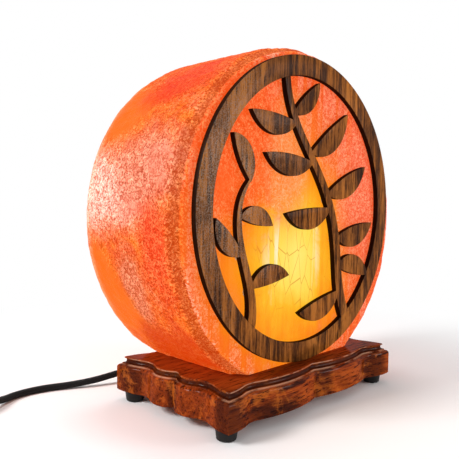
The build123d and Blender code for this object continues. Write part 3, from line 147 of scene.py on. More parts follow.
class Graph:
    """The node graph of one material, with short methods for the nodes that the finishes use."""

    def __init__(self, name: str) -> None:
        """Starts an empty material of this name."""
        self.material = bpy.data.materials.new(name)
        self.material.use_nodes = True
        self._take(self.material.node_tree)

    @classmethod
    def over(cls, tree: bpy.types.NodeTree) -> "Graph":
        """A graph on a tree that exists, such as the world's."""
        graph = cls.__new__(cls)
        graph._take(tree)
        return graph

    def _take(self, tree: bpy.types.NodeTree) -> None:
        """Empties a tree and works on it."""
        self.nodes, self.links = tree.nodes, tree.links
        self.nodes.clear()

    def add(
        self, kind: str, settings: dict | None = None, inputs: dict | None = None, output: int | str = 0
    ) -> Signal | None:
        """Adds a node.

        Args:
            kind: The node's type.
            settings: Properties to set first; "stops" gives a colour ramp's places and colours.
            inputs: Numbers, colours or signals for the node's sockets, by name or number.
            output: Which output to return.

        Returns:
            The chosen output, if the node has any.
        """
        node = self.nodes.new(kind)
        for key, value in (settings or {}).items():
            if key == "stops":
                self._set_stops(node.color_ramp, value)
            else:
                setattr(node, key, value)
        for key, value in (inputs or {}).items():
            self._feed(node.inputs[key], value)
        return Signal(self, node.outputs[output]) if node.outputs else None

    def _set_stops(self, ramp: bpy.types.ColorRamp, stops: list[tuple[float, Colour]]) -> None:
        """Gives a ramp its stops."""
        while len(ramp.elements) < len(stops):
            ramp.elements.new(1.0)
        for element, (place, colour) in zip(ramp.elements, stops):
            element.position = place
            element.color = (*colour, 1.0)

    def _feed(self, socket: bpy.types.NodeSocket, value: "Signal | float | tuple") -> None:
        """Links a signal to a socket, or sets its value."""
        if isinstance(value, Signal):
            self.links.new(value.socket, socket)
        elif isinstance(value, tuple) and socket.type == "RGBA":
            socket.default_value = (*value[:3], 1.0)
        else:
            socket.default_value = value

    def place(self) -> Signal:
        """The point on the object, in metres in the model's frame."""
        return self.add("ShaderNodeTexCoord", output="Object")

    def facing(self) -> Signal:
        """The surface's own direction in the model's frame."""
        return self.add("ShaderNodeTexCoord", output="Normal")

    def along(self) -> Signal:
        """The piece's own map: round it and along it."""
        return self.add("ShaderNodeUVMap", {"uv_map": "UVMap"})

    def axes(self, vector: Signal) -> tuple[Signal, Signal, Signal]:
        """A vector's three parts."""
        node = self.add("ShaderNodeSeparateXYZ", {}, {0: vector}).socket.node
        return tuple(Signal(self, out) for out in node.outputs)

    def length(self, vector: Signal) -> Signal:
        """A vector's length."""
        return self.add("ShaderNodeVectorMath", {"operation": "LENGTH"}, {0: vector}, "Value")

    def stretched(self, vector: Signal, scale: Point, shift: Point = (0, 0, 0)) -> Signal:
        """The vector scaled along each axis and then moved."""
        return self.add("ShaderNodeMapping", {}, {"Vector": vector, "Scale": scale, "Location": shift})

    def noise(
        self, vector: Signal, scale: float | Point, detail: float = 4.0, rough: float = 0.5, warp: float = 0.0
    ) -> Signal:
        """Cloudy noise around 0.5.

        Args:
            vector: Where the noise is read.
            scale: How many of its units fit in a metre, alike along every axis or for each one.
            detail: How many finer layers it has.
            rough: How strong the finer layers are.
            warp: How far it is distorted.

        Returns:
            The noise.
        """
        if isinstance(scale, tuple):
            vector, scale = self.stretched(vector, scale), 1.0
        inputs = {"Vector": vector, "Scale": scale, "Detail": detail, "Roughness": rough, "Distortion": warp}
        return self.add("ShaderNodeTexNoise", {}, inputs, "Fac")

    def cracks(self, vector: Signal) -> Signal:
        """The distance from the edges of a pattern of cells."""
        edges = {"feature": "DISTANCE_TO_EDGE"}
        return self.add("ShaderNodeTexVoronoi", edges, {"Vector": vector, "Scale": 1.0}, "Distance")

    def ramp(self, value: Signal, stops: list[tuple[float, Colour]]) -> Signal:
        """A colour for each value."""
        return self.add("ShaderNodeValToRGB", {"stops": stops}, {"Fac": value}, "Color")

    def mix(self, first: Signal | Colour, second: Signal | Colour, share: Signal | float) -> Signal:
        """One colour over another, which shows alone at a share of 1."""
        inputs = {"Factor": share, 6: first, 7: second}
        return self.add("ShaderNodeMix", {"data_type": "RGBA"}, inputs, 2)

    def bump(self, height: Signal, distance: float, strength: float, over: Signal | None = None) -> Signal:
        """A surface direction from a height.

        Args:
            height: The height, 0 to 1.
            distance: How deep it goes.
            strength: How much of it shows.
            over: Another bump below this one.

        Returns:
            The direction.
        """
        under = {} if over is None else {"Normal": over}
        inputs = {"Height": height, "Distance": distance, "Strength": strength}
        return self.add("ShaderNodeBump", {}, inputs | under)

    def finish(self, **inputs: "Signal | float | tuple") -> bpy.types.Material:
        """Ends the graph in a Principled shader.

        Args:
            inputs: The shader's sockets, with _ for a space.

        Returns:
            The material.
        """
        named = {key.replace("_", " "): value for key, value in inputs.items()}
        shader = self.add("ShaderNodeBsdfPrincipled", {}, named)
        self.add("ShaderNodeOutputMaterial", {}, {"Surface": shader})
        return self.material


# ---- finishes


@dataclass(frozen=True)
class Patch:
    """A rounded place on the lamp: its middle, its reach along each axis, and its edge."""

    middle: Point
    reach: Point
    softness: float = 0.35
    ragged: float = 1.5

    def mask(self, g: Graph, point: Signal, haze: Signal) -> Signal:
        """Marks the patch.

        Args:
            g: The graph to add to.
            point: The point on the object.
            haze: Cloudy noise that makes the edge uneven.

        Returns:
            1 in the patch and 0 outside it.
        """
        scale = tuple(1 / r for r in self.reach)
        shift = tuple(-m / r for m, r in zip(self.middle, self.reach))
        away = g.length(g.stretched(point, scale, shift)) + (haze - 0.5) * self.ragged
        return away.rise(1.0 + self.softness, 1.0 - self.softness)


@dataclass(frozen=True, kw_only=True)
class Cloud(Patch):
    """A patch in the salt with a glow of its own, and a surface more or less broken and whitened."""

    glow: Colour
    frost: float
    white: float = 0.0


@dataclass(frozen=True)
class Ground:
    """What every part of the salt's graph reads at a point: its place, the noise and how far out it is."""

    g: Graph
    point: Signal
    x: Signal
    y: Signal
    z: Signal
    out: Signal
    haze: Signal
    fleck: Signal


# a glow, how frosted the surface over it is, and how white that frost
Surface = tuple[Signal, Signal, Signal]


@dataclass(frozen=True)
class SaltFinish:
    """Rock salt: a glow from inside, under a surface of broken crystals that scatter the room's light."""

    name: str = "rock_salt"
    front: float = -0.03925
    back: float = 0.05875
    bevel_end: float = -0.03125
    axis_height: float = 0.1324
    face_middle: float = 0.0023
    face_radius: float = 0.1155
    back_fade: Pair = (0.115, 0.098)
    rim_light_fade: Pair = (0.108, 0.114)
    rim_light_depth: Pair = (0.046, 0.053)
    hot_spot: Pair = (-0.004, 0.107)
    hot_reach: Pair = (0.047, 0.052)
    hot_scale: float = 3.0
    amber_crystal: Colour = linear(248, 124, 44)
    # the white crystals' colour, also that of the painted sheen on the upper left of the rim
    white_crystal_and_sheen: Colour = linear(252, 228, 214)
    clear: Colour = linear(70, 22, 8)
    pit: Colour = linear(120, 38, 12)
    # pale crystal flecks, partly painted glints, mixed into the glow
    spark: Colour = linear(255, 190, 120)
    crack: Colour = linear(206, 118, 20)
    seam: Colour = linear(255, 252, 214)
    ember: Colour = linear(222, 58, 6)
    orange: Colour = linear(236, 84, 12)
    bright: Colour = linear(250, 114, 26)
    # the colour of the painted rim light along the back edge
    painted_rim_light: Colour = linear(254, 160, 96)
    # the painted shade on the bevel, deeper and paler
    bevel_shade_deep: Colour = linear(186, 58, 4)
    bevel_shade_pale: Colour = linear(206, 84, 36)
    clear_orange: Colour = linear(252, 114, 18)
    deep_red: Colour = linear(238, 42, 2)
    rose: Colour = linear(218, 92, 60)
    brown_rose: Colour = linear(206, 80, 30)
    deep_orange: Colour = linear(212, 56, 0)
    face_left: Colour = linear(244, 78, 18)
    face_top: Colour = linear(252, 134, 50)
    face_right: Colour = linear(240, 84, 40)

    def side_clouds(self) -> tuple[Cloud, ...]:
        """The larger patches round the rim, the lowest first."""
        orange, red, rose = self.clear_orange, self.deep_red, self.rose
        return (
            Cloud((-0.098, 0.044, 0.204), (0.030, 0.030, 0.027), 0.35, 1.3, glow=orange, frost=0.03),
            Cloud((-0.076, 0.000, 0.227), (0.036, 0.034, 0.024), 0.45, glow=red, frost=0.07),
            # painted sheen: the key light's reflection on the upper left of the rim, painted as white frost
            Cloud((-0.118, 0.038, 0.150), (0.040, 0.046, 0.024), 0.75, 2.2, glow=rose, frost=0.60, white=0.9),
            Cloud((-0.116, -0.006, 0.164), (0.030, 0.026, 0.026), 0.7, 2.0, glow=rose, frost=0.34, white=0.5),
            Cloud((-0.118, -0.019, 0.112), (0.030, 0.013, 0.028), 0.6, 2.0, glow=red, frost=0.17, white=0.1),
            Cloud((-0.111, 0.010, 0.088), (0.030, 0.014, 0.026), glow=self.brown_rose, frost=0.24, white=0.4),
            Cloud((-0.098, 0.048, 0.072), (0.042, 0.030, 0.048), 0.20, 1.0, glow=orange, frost=0.02),
            Cloud((-0.080, -0.002, 0.044), (0.034, 0.040, 0.020), glow=self.deep_orange, frost=0.06),
            Cloud((0.106, 0.020, 0.186), (0.030, 0.034, 0.030), 0.45, 1.6, glow=orange, frost=0.03),
            Cloud((0.118, -0.004, 0.118), (0.030, 0.026, 0.030), 0.75, 2.2, glow=rose, frost=0.34, white=0.5),
            Cloud((0.096, 0.030, 0.060), (0.036, 0.034, 0.026), glow=red, frost=0.14),
        )

    def face_clouds(self) -> tuple[Cloud, ...]:
        """The larger patches on the face: broken on the left, pale in the middle, rosy on the right."""
        left, top, right = self.face_left, self.face_top, self.face_right
        return (
            Cloud((-0.066, -0.039, 0.186), (0.046, 0.040, 0.058), 0.45, 2.0, glow=left, frost=0.2, white=0.1),
            Cloud((-0.016, -0.039, 0.172), (0.020, 0.040, 0.040), 0.6, 1.0, glow=top, frost=0.14, white=0.6),
            Cloud((0.076, -0.039, 0.150), (0.030, 0.040, 0.070), 0.6, 1.0, glow=right, frost=0.22, white=0.5),
        )

    def build(self) -> bpy.types.Material:
        """Makes the finish.

        Returns:
            The material.
        """
        g = Graph(self.name)
        at = self._ground(g)
        haze, fleck = at.haze, at.fleck
        side, face = self._side(at), self._face(at)
        on_back = at.y.rise(self.back - 0.0050, self.back - 0.0015) * at.out.rise(*self.back_fade) * 0.8
        on_face = at.y.rise(self.front + 0.0022, self.front + 0.0010).most(on_back)
        glow = g.mix(side[0], face[0], on_face)
        frost, white = (mine.towards(other, on_face) for mine, other in zip(side[1:], face[1:]))
        glow, frost = self._bevel(at, glow, frost)
        broken = frost.rise(0.02, 0.13)
        fine = g.noise(at.point, 800.0, 2.0, 0.6)
        threads = abs(fleck - 0.52).rise(0.030, 0.006) * fine.rise(0.44, 0.56)
        # pale flecks and threads of broken crystal, partly painted glints: they brighten the glow and the
        # frost
        pale_flecks_and_glints = fleck.rise(0.56, 0.68).most(threads) * broken * haze.rise(0.22, 0.48)
        pits = fine.rise(0.46, 0.36).most(fleck.rise(0.42, 0.33)) * broken
        pits = pits * haze.rise(0.26, 0.50) * (1.0 - 0.72 * on_face)
        frost = (frost * (0.30 + 1.25 * fleck.rise(0.36, 0.64)) + pale_flecks_and_glints * 0.24) * (1.0 - 0.7 * pits)
        crystal = g.mix(self.amber_crystal, self.white_crystal_and_sheen, white)
        scatter = g.mix(g.mix(self.clear, crystal, frost), self.pit, pits * 0.5)
        glow = g.mix(glow, self.spark, pale_flecks_and_glints * 0.52)
        glow = g.mix(glow, BLACK, (frost * 0.45 + pits * 0.34).least(0.8))
        return g.finish(
            Base_Color=scatter,
            Roughness=0.40 + 0.25 * broken - 0.20 * pale_flecks_and_glints,
            Emission_Color=glow,
            Emission_Strength=1.0,
            Normal=g.bump(fleck, 0.0014, 0.9, g.bump(haze, 0.0040, 0.5)),
            Specular_IOR_Level=0.03,
        )

    def _ground(self, g: Graph) -> Ground:
        """Reads the point.

        Args:
            g: The graph to add to.

        Returns:
            The point's signals.
        """
        point = g.place()
        x, y, z = g.axes(point)
        off, up = x - self.face_middle, z - self.axis_height
        haze = g.noise(point, 30.0, 5.0, 0.62, 0.5)
        fleck = g.noise(point, 380.0, 3.0, 0.72, 1.2)
        return Ground(g, point, x, y, z, (off * off + up * up) ** 0.5, haze, fleck)

    def _side(self, at: Ground) -> Surface:
        """The rim and the back: mottled, under larger patches, with a painted rim light that makes it pale
        along the back edge.

        Args:
            at: The point's signals.

        Returns:
            The surface.
        """
        mottle = at.g.noise(at.point, (70.0, 55.0, 70.0), 5.0, 0.66, 0.7)
        glow = at.g.ramp(mottle, [(0.36, self.ember), (0.50, self.orange), (0.64, self.bright)])
        frost = mottle.rise(0.38, 0.66) * 0.16 + 0.10
        under = (glow, frost, at.haze.rise(0.52, 0.70) * 0.3)
        glow, frost, white = self._lay(at, self.side_clouds(), under, mottle)
        # painted rim light: the back edge paled in glow, frost and whiteness, as if lit from behind
        edge = at.y.rise(*self.rim_light_depth) * at.out.rise(*self.rim_light_fade) * (0.4 + 0.8 * mottle)
        return at.g.mix(glow, self.painted_rim_light, edge * 0.45), frost + edge * 0.10, white.most(edge * 0.8)

    def _lay(self, at: Ground, clouds: tuple[Cloud, ...], under: Surface, mottle: Signal) -> Surface:
        """Lays patches over a surface.

        Args:
            at: The point's signals.
            clouds: The patches, the lowest first.
            under: The surface so far.
            mottle: Noise that varies the patches' frost.

        Returns:
            The surface with the patches.
        """
        glow, frost, white = under
        for cloud in clouds:
            mask = cloud.mask(at.g, at.point, at.haze)
            glow = at.g.mix(glow, at.g.mix(cloud.glow, glow, 0.15), mask)
            frost = frost.towards(cloud.frost * (0.6 + 0.8 * mottle), mask)
            white = white.towards(cloud.white, mask)
        return glow, frost, white

    def _face(self, at: Ground) -> Surface:
        """The face: hot where the bulb is, cooler outwards, through upright strata.

        Args:
            at: The point's signals.

        Returns:
            The surface.
        """
        g = at.g
        across, up = ((c - m) / r for c, m, r in zip((at.x, at.z), self.hot_spot, self.hot_reach))
        strata = g.noise(at.point, (70.0, 0.0, 3.0), 3.0, 0.55, 0.25)
        bands = strata.rise(0.47, 0.52)
        away = (across * across + up * up) ** 0.5 + at.x * 3.0
        away = away + (strata - 0.5) * 0.9 + (at.haze - 0.5) * 0.8 - bands * 0.10
        stops = [
            (0.0, linear(254, 232, 112)),
            (0.13, linear(253, 220, 84)),
            (0.24, linear(252, 186, 38)),
            (0.36, linear(250, 146, 20)),
            (0.52, linear(244, 108, 20)),
            (0.72, linear(238, 84, 26)),
            (1.0, linear(232, 74, 34)),
        ]
        cracks = g.cracks(g.stretched(at.point, (120.0, 60.0, 46.0))) + (at.haze - 0.5) * 0.05
        lines = cracks.rise(0.030, 0.004) * away.rise(1.1, 0.5)
        glow = g.mix(g.ramp(away / self.hot_scale, stops), self.crack, lines * 0.6)
        glow = g.mix(glow, self.seam, (strata.rise(0.56, 0.60) * away.rise(0.75, 0.35)) * 0.8)
        frost = away.rise(0.9, 2.2) * (0.10 + 0.12 * bands)
        return self._lay(at, self.face_clouds(), (glow, frost, bands * 0.5), strata)

    def _bevel(self, at: Ground, glow: Signal, frost: Signal) -> tuple[Signal, Signal]:
        """The bevel: its glow darkened as painted shade, for the band faces away from the light, between two
        worn and whitened arrises.

        Args:
            at: The point's signals.
            glow: The glow so far.
            frost: The frost so far.

        Returns:
            The glow and the frost with the bevel.
        """
        y, out, haze, fleck = at.y, at.out, at.haze, at.fleck
        wander = (fleck - 0.5) * 0.003 + (haze - 0.5) * 0.009
        behind_face = y.rise(self.front + 0.0008, self.front + 0.0020)
        before_side = (y + wander).rise(self.bevel_end + 0.0014, self.bevel_end - 0.0022)
        bevel = behind_face * before_side
        # painted shade: the bevel's glow darkened, mottled between a deeper and a paler tint
        tint = at.g.mix(self.bevel_shade_deep, self.bevel_shade_pale, haze.rise(0.42, 0.58))
        glow = at.g.mix(glow, tint, bevel * 0.8)
        frost = frost * (1.0 - bevel * 0.6) + bevel * 0.05
        face_arris = abs(out + wander - self.face_radius).rise(0.0018, 0.0002)
        face_arris = face_arris * y.rise(self.front + 0.0040, self.front + 0.0020)
        side_arris = abs(y + wander - self.bevel_end - 0.0005).rise(0.0026, 0.0002)
        worn = (face_arris * 1.3).most(side_arris * 0.8) * fleck.rise(0.44, 0.56) * haze.rise(0.30, 0.50)
        return glow, frost + worn * 0.36


class Grain(Enum):
    """Which way a board's grain runs."""

    ACROSS = "across"
    UPRIGHT = "upright"


@dataclass(frozen=True)
class WoodFinish:
    """Stained wood: broad figure, fine streaks, open pores and a varnish.

    The fields after the colours say how the varnish lies, where shade is painted darker in stripes and
    patches, where it is rubbed through, where highlights are painted along arrises, and where a sheen is
    painted.
    """

    name: str
    grain: Grain
    light: Colour
    middle: Colour
    dark: Colour
    coat: float
    coat_roughness: float
    clouded: float
    cut_edge: Colour | None = None
    strips: tuple[float, ...] = ()
    strip_step: float = 0.035
    painted_shade_bands: tuple[Pair, ...] = ()
    rubbed: Colour | None = None
    shade_patches: tuple[Patch, ...] = ()
    painted_highlight_bands: tuple[Pair, ...] = ()
    painted_highlight_tint: Colour = linear(232, 176, 140)
    painted_sheen: Patch | None = None
    painted_sheen_speckle: Colour = linear(150, 132, 118)

    def _run(self, across: float, along: float) -> Point:
        """Pattern units a metre along each axis, for figure that runs with the grain."""
        return (along, across, across) if self.grain is Grain.ACROSS else (across, across, along)

    def _darker(self, share: float) -> Colour:
        """The wood's dark colour, darker still."""
        return tuple(c * share for c in self.dark)

    def build(self) -> bpy.types.Material:
        """Makes the finish.

        Returns:
            The material.
        """
        g = Graph(self.name)
        point = g.place()
        x, _, z = g.axes(point)
        broad = g.noise(point, self._run(64.0, 9.0), 4.0, 0.6, 1.1)
        streaks = g.noise(point, self._run(420.0, 26.0), 4.0, 0.72, 0.5)
        pores = g.noise(point, self._run(900.0, 95.0), 2.0, 0.6).rise(0.53, 0.62)
        blotch = g.noise(point, 42.0, 4.0, 0.6, 0.6)
        speckle = g.noise(point, self._run(1500.0, 500.0), 2.0, 0.7)
        figure = broad * 0.46 + streaks * 0.46 + speckle * 0.08 + self._strip_shift(x)
        tint = g.ramp(figure, [(0.41, self.dark), (0.49, self.middle), (0.57, self.light)])
        tint = g.mix(tint, self.dark, blotch.rise(0.53, 0.66) * self.clouded)
        if self.rubbed is not None:
            tint = self._rub(g, tint, point, streaks, blotch)
        tint = g.mix(tint, self._darker(0.35), pores * streaks.rise(0.62, 0.42) * 0.9)
        rough = 0.4 + 0.25 * streaks
        # painted sheen: a greyish speckled reflection over the left part of the ring
        if self.painted_sheen is not None:
            painted_sheen_speckle = g.noise(point, 1000.0, 2.0, 0.8).rise(0.46, 0.60) * 0.60 + 0.04
            tint = g.mix(tint, self.painted_sheen_speckle, self.painted_sheen.mask(g, point, blotch) * painted_sheen_speckle)
        if self.cut_edge is not None:
            _, out, _ = g.axes(g.facing())
            side = (out * out).rise(0.6, 0.3)
            tint, rough = g.mix(tint, self.cut_edge, side * 0.96), rough + side * 0.3
        # painted shade: a darker stripe in the moulding's cove
        for ends in self.painted_shade_bands:
            tint = g.mix(tint, self._darker(0.5), self._band(z, ends, 0.0006, 0.0005, 0.0003) * 0.8)
        # painted highlights: thin light lines along the bead and the lip's arris, broken by noise
        for ends in self.painted_highlight_bands:
            worn = self._band(z, ends, 0.0003, 0.0003, 0.0001) * blotch.rise(0.40, 0.56)
            tint = g.mix(tint, self.painted_highlight_tint, worn * 0.55)
        height = streaks * 0.4 + broad * 0.3 - pores * 0.8
        return g.finish(
            Base_Color=tint,
            Roughness=rough,
            Coat_Weight=self.coat,
            Coat_Roughness=self.coat_roughness,
            Specular_IOR_Level=0.0,
            Normal=g.bump(height, 0.0003, 0.55),
        )

    def _rub(self, g: Graph, tint: Signal, point: Signal, streaks: Signal, blotch: Signal) -> Signal:
        """A more even top and end, with painted shade in darker patches, and worn through in others.

        Args:
            g: The graph to add to.
            tint: The wood's colour so far.
            point: The point on the object.
            streaks: The fine streaks.
            blotch: The cloudy noise that frays the patches of painted shade.

        Returns:
            The colour, rubbed.
        """
        across, _, up = g.axes(g.facing())
        even = up.rise(0.80, 0.97).most((across * across).rise(0.30, 0.80) * 0.7) * 0.72
        tint = g.mix(tint, self.middle, even)
        # painted shade at the notches and corners
        for shade_patch in self.shade_patches:
            tint = g.mix(tint, self.dark, shade_patch.mask(g, point, blotch) * 0.78)
        worn = g.noise(point, 60.0, 4.0, 0.6, 0.5) + (streaks - 0.5) * 0.35
        return g.mix(tint, self.rubbed, worn.rise(0.52, 0.68) * up.rise(0.9, 0.6) * 0.6)

    def _band(self, z: Signal, ends: Pair, below: float, above: float, inside: float) -> Signal:
        """Marks a level stripe of a moulding.

        Args:
            z: The height.
            ends: The stripe's heights.
            below: How far it fades out below them.
            above: How far it fades out above them.
            inside: How far in it is at its full strength.

        Returns:
            1 in the stripe and 0 off it.
        """
        low, high = ends
        return z.rise(low - below, low + inside) * z.rise(high + above, high - inside)

    def _strip_shift(self, x: Signal) -> Signal | float:
        """How much each glued strip differs from the one before, darker and lighter by turns.

        Args:
            x: The place across the strips.

        Returns:
            The difference, which is 0 on a piece without strips.
        """
        shift: Signal | float = 0.0
        for number, seam in enumerate(self.strips):
            step = self.strip_step if number % 2 else -self.strip_step
            shift = x.rise(seam - 0.0002, seam + 0.0002) * step + shift
        return shift


@dataclass(frozen=True)
class MouldedFinish:
    """Moulded plastic or rubber with a fine spark texture."""

    name: str
    colour: Colour
    roughness: float = 0.5
    texture: float = 0.00006
    texture_scale: float = 1500.0

    def build(self) -> bpy.types.Material:
        """Makes the finish.

        Returns:
            The material.
        """
        g = Graph(self.name)
        point = g.place()
        grain = g.noise(point, self.texture_scale, 2.0)
        wear = g.noise(point, 60.0, 3.0)
        tint = g.mix(self.colour, tuple(c * 1.5 + 0.004 for c in self.colour), wear.rise(0.4, 0.7) * 0.5)
        return g.finish(
            Base_Color=tint,
            Roughness=self.roughness + 0.15 * (wear - 0.5),
            Normal=g.bump(grain, self.texture, 1.0),
            Specular_IOR_Level=0.25,
        )


@dataclass(frozen=True)
class MetalFinish:
    """Plated or rolled metal with slight tarnish and brushing."""

    name: str
    colour: Colour
    roughness: float = 0.28

    def build(self) -> bpy.types.Material:
        """Makes the finish.

        Returns:
            The material.
        """
        g = Graph(self.name)
        point = g.place()
        tarnish = g.noise(point, 180.0, 4.0, 0.6)
        brushing = g.noise(point, (400.0, 400.0, 4000.0), 2.0)
        tint = g.mix(self.colour, tuple(c * 0.6 for c in self.colour), tarnish.rise(0.45, 0.75) * 0.6)
        return g.finish(
            Base_Color=tint,
            Metallic=1.0,
            Roughness=self.roughness + 0.25 * tarnish * brushing,
            Normal=g.bump(brushing, 0.00002, 0.5),
        )


@dataclass(frozen=True)
class GlassFinish:
    """Clear glass or cured adhesive, shown by its gloss over a thin tint."""

    name: str
    colour: Colour
    opacity: float
    roughness: float = 0.05
    glow: Colour | None = None

    def build(self) -> bpy.types.Material:
        """Makes the finish.

        Returns:
            The material.
        """
        g = Graph(self.name)
        streaks = g.noise(g.place(), 120.0, 3.0)
        inputs = {
            "Base_Color": g.mix(self.colour, WHITE, streaks * 0.2),
            "Roughness": self.roughness + 0.06 * streaks,
            "Alpha": self.opacity,
        }
        if self.glow is not None:
            inputs["Emission_Color"] = g.mix(self.glow, self.colour, streaks * 0.3)
            inputs["Emission_Strength"] = 1.0
        return g.finish(**inputs)


@dataclass(frozen=True)
class BraidFinish:
    """Braided black textile over a cord, woven along the piece's own map."""

    name: str = "black_braid"
    thread: Colour = linear(20, 19, 20)
    gap: Colour = linear(5, 5, 5)
    glint: Colour = linear(104, 100, 98)
    turns: float = 8.0
    pitch: float = 0.0021

    def build(self) -> bpy.types.Material:
        """Makes the finish.

        Returns:
            The material.
        """
        g = Graph(self.name)
        place = g.along()
        round_it, along_it, _ = g.axes(place)
        one = (round_it * self.turns + along_it / self.pitch).math("FRACT")
        other = (round_it * self.turns - along_it / self.pitch).math("FRACT")
        ridge = abs(one - 0.5).least(abs(other - 0.5)) * 2.0
        fibre = g.noise(place, (60.0, 9000.0, 1.0), 2.0)
        tint = g.mix(self.thread, self.gap, ridge.rise(0.35, 0.05))
        tint = g.mix(tint, self.glint, fibre.rise(0.58, 0.72) * ridge.rise(0.30, 0.7) * 0.8)
        return g.finish(
            Base_Color=tint,
            Roughness=0.62 - 0.15 * fibre,
            Normal=g.bump(ridge + fibre * 0.3, 0.0002, 0.8),
            Specular_IOR_Level=0.15,
        )


# painted shade: darker patches at the board's notches, at its corners and low on its front
SHADE_PATCHES = (
    Patch((-0.090, -0.055, 0.017), (0.014, 0.009, 0.018), 0.4, 0.8),
    Patch((-0.088, -0.004, 0.017), (0.012, 0.006, 0.016), 0.4, 1.0),
    Patch((-0.092, 0.040, 0.017), (0.012, 0.012, 0.016), 0.4, 1.2),
    Patch((0.006, -0.055, 0.017), (0.010, 0.012, 0.016), 0.4, 1.2),
    Patch((0.070, -0.058, 0.017), (0.016, 0.012, 0.012), 0.4, 1.4),
    Patch((-0.050, -0.058, 0.012), (0.024, 0.012, 0.007), 0.4, 1.4),
    Patch((0.088, 0.002, 0.017), (0.012, 0.012, 0.016), 0.4, 1.2),
    Patch((-0.004, 0.052, 0.017), (0.012, 0.012, 0.016), 0.4, 1.2),
)
BOARD = WoodFinish(
    "varnished_board",
    Grain.ACROSS,
    light=linear(178, 80, 24),
    middle=linear(138, 54, 16),
    dark=linear(60, 20, 6),
    coat=0.13,
    coat_roughness=0.10,
    clouded=0.28,
    # painted shade in the cove; painted highlights on the bead and along the lip's arris
    painted_shade_bands=((0.0272, 0.0294),),
    painted_highlight_bands=((0.0262, 0.0268), (0.0305, 0.0309)),
    rubbed=linear(200, 104, 34),
    shade_patches=SHADE_PATCHES,
)
FRETWORK = WoodFinish(
    "walnut_fretwork",
    Grain.UPRIGHT,
    light=linear(178, 108, 44),
    middle=linear(132, 76, 30),
    dark=linear(62, 34, 16),
    coat=0.10,
    coat_roughness=0.32,
    clouded=0.5,
    # painted sheen over the ring's left part
    painted_sheen=Patch((-0.098, -0.042, 0.160), (0.060, 0.040, 0.060), 0.8, 2.0),
    cut_edge=linear(22, 8, 3),
    strips=(-0.046, 0.004, 0.058),
)
# each slot's colour, as it looks on a screen, and the finish's further fields
PLAIN = {
    MouldedFinish: {
        "foot_rubber": ((18, 15, 14), 0.5),
        "holder_plastic": ((30, 29, 31), 0.38),
        "insert_ceramic": ((226, 222, 212), 0.25),
        "dark_glass": ((24, 22, 34), 0.15),
        "dimmer_plastic": ((30, 30, 32), 0.45),
        "plug_plastic": ((26, 26, 28), 0.5),
        "circuit_board": ((38, 104, 58), 0.35),
        "component_plastic": ((40, 42, 48), 0.4),
        "tie_fabric": ((32, 31, 33), 0.85, 0.0003, 900.0),
    },
    MetalFinish: {
        "zinc_steel": ((196, 196, 192), 0.3),
        "spring_steel": ((150, 150, 152), 0.35),
        "brass": ((214, 176, 96), 0.22),
        "bulb_metal": ((204, 204, 200), 0.26),
    },
    GlassFinish: {
        "clear_adhesive": ((238, 214, 180), 0.6, 0.2),
        "bulb_glass": ((255, 240, 200), 0.35, 0.04, (150, 110, 50)),
        "filament": ((255, 220, 140), 1.0, 0.3, (255, 226, 150)),
    },
}


class Palette:
    """Every finish of the lamp, built once."""

    def __init__(self) -> None:
        """Builds the materials."""
        finishes = {"salt": SaltFinish(), "board_wood": BOARD, "fretwork_wood": FRETWORK}
        finishes["braided_cord"] = BraidFinish()
        for kind, rows in PLAIN.items():
            for slot, values in rows.items():
                finishes[slot] = kind(slot, *(linear(*v) if isinstance(v, tuple) else v for v in values))
        self.materials = {slot: finish.build() for slot, finish in finishes.items()}

    def dress(self, piece: bpy.types.Object, slot: str) -> None:
        """Gives a piece the finish of its slot, in place of any it had.

        Args:
            piece: The object to dress.
            slot: The material slot's name.
        """
        piece.data.materials.clear()
        piece.data.materials.append(self.materials[slot])


# ---- mesh helpers


def add_object(name: str, data: bpy.types.ID) -> bpy.types.Object:
    """Links a new object into the scene.

    Args:
        name: The object's name.
        data: Its mesh, light or camera.

    Returns:
        The object.
    """
    made = bpy.data.objects.new(name, data)
    bpy.context.scene.collection.objects.link(made)
    return made


def from_bmesh(name: str, bm: bmesh.types.BMesh, smooth: bool = True) -> bpy.types.Object:
    """Makes a piece of a bmesh.

    Args:
        name: The piece's name.
        bm: The bmesh, which is freed.
        smooth: Whether its faces are shaded smooth.

    Returns:
        The new object.
    """
    for face in bm.faces:
        face.smooth = smooth
    mesh = bpy.data.meshes.new(name)
    bm.to_mesh(mesh)
    bm.free()
    return add_object(name, mesh)


def apply_modifiers(piece: bpy.types.Object) -> None:
    """Replaces a piece's mesh with what its modifiers make of it.

    Args:
        piece: The piece, which is left without modifiers.
    """
    graph = bpy.context.evaluated_depsgraph_get()
    mesh = bpy.data.meshes.new_from_object(piece.evaluated_get(graph))
    piece.modifiers.clear()
    piece.data = mesh


def smoothstep(low: float, high: float, value: float) -> float:
    """0 below low, 1 above high, smooth between."""
    share = min(1.0, max(0.0, (value - low) / (high - low)))
    return share * share * (3 - 2 * share)


# ---- salt drum


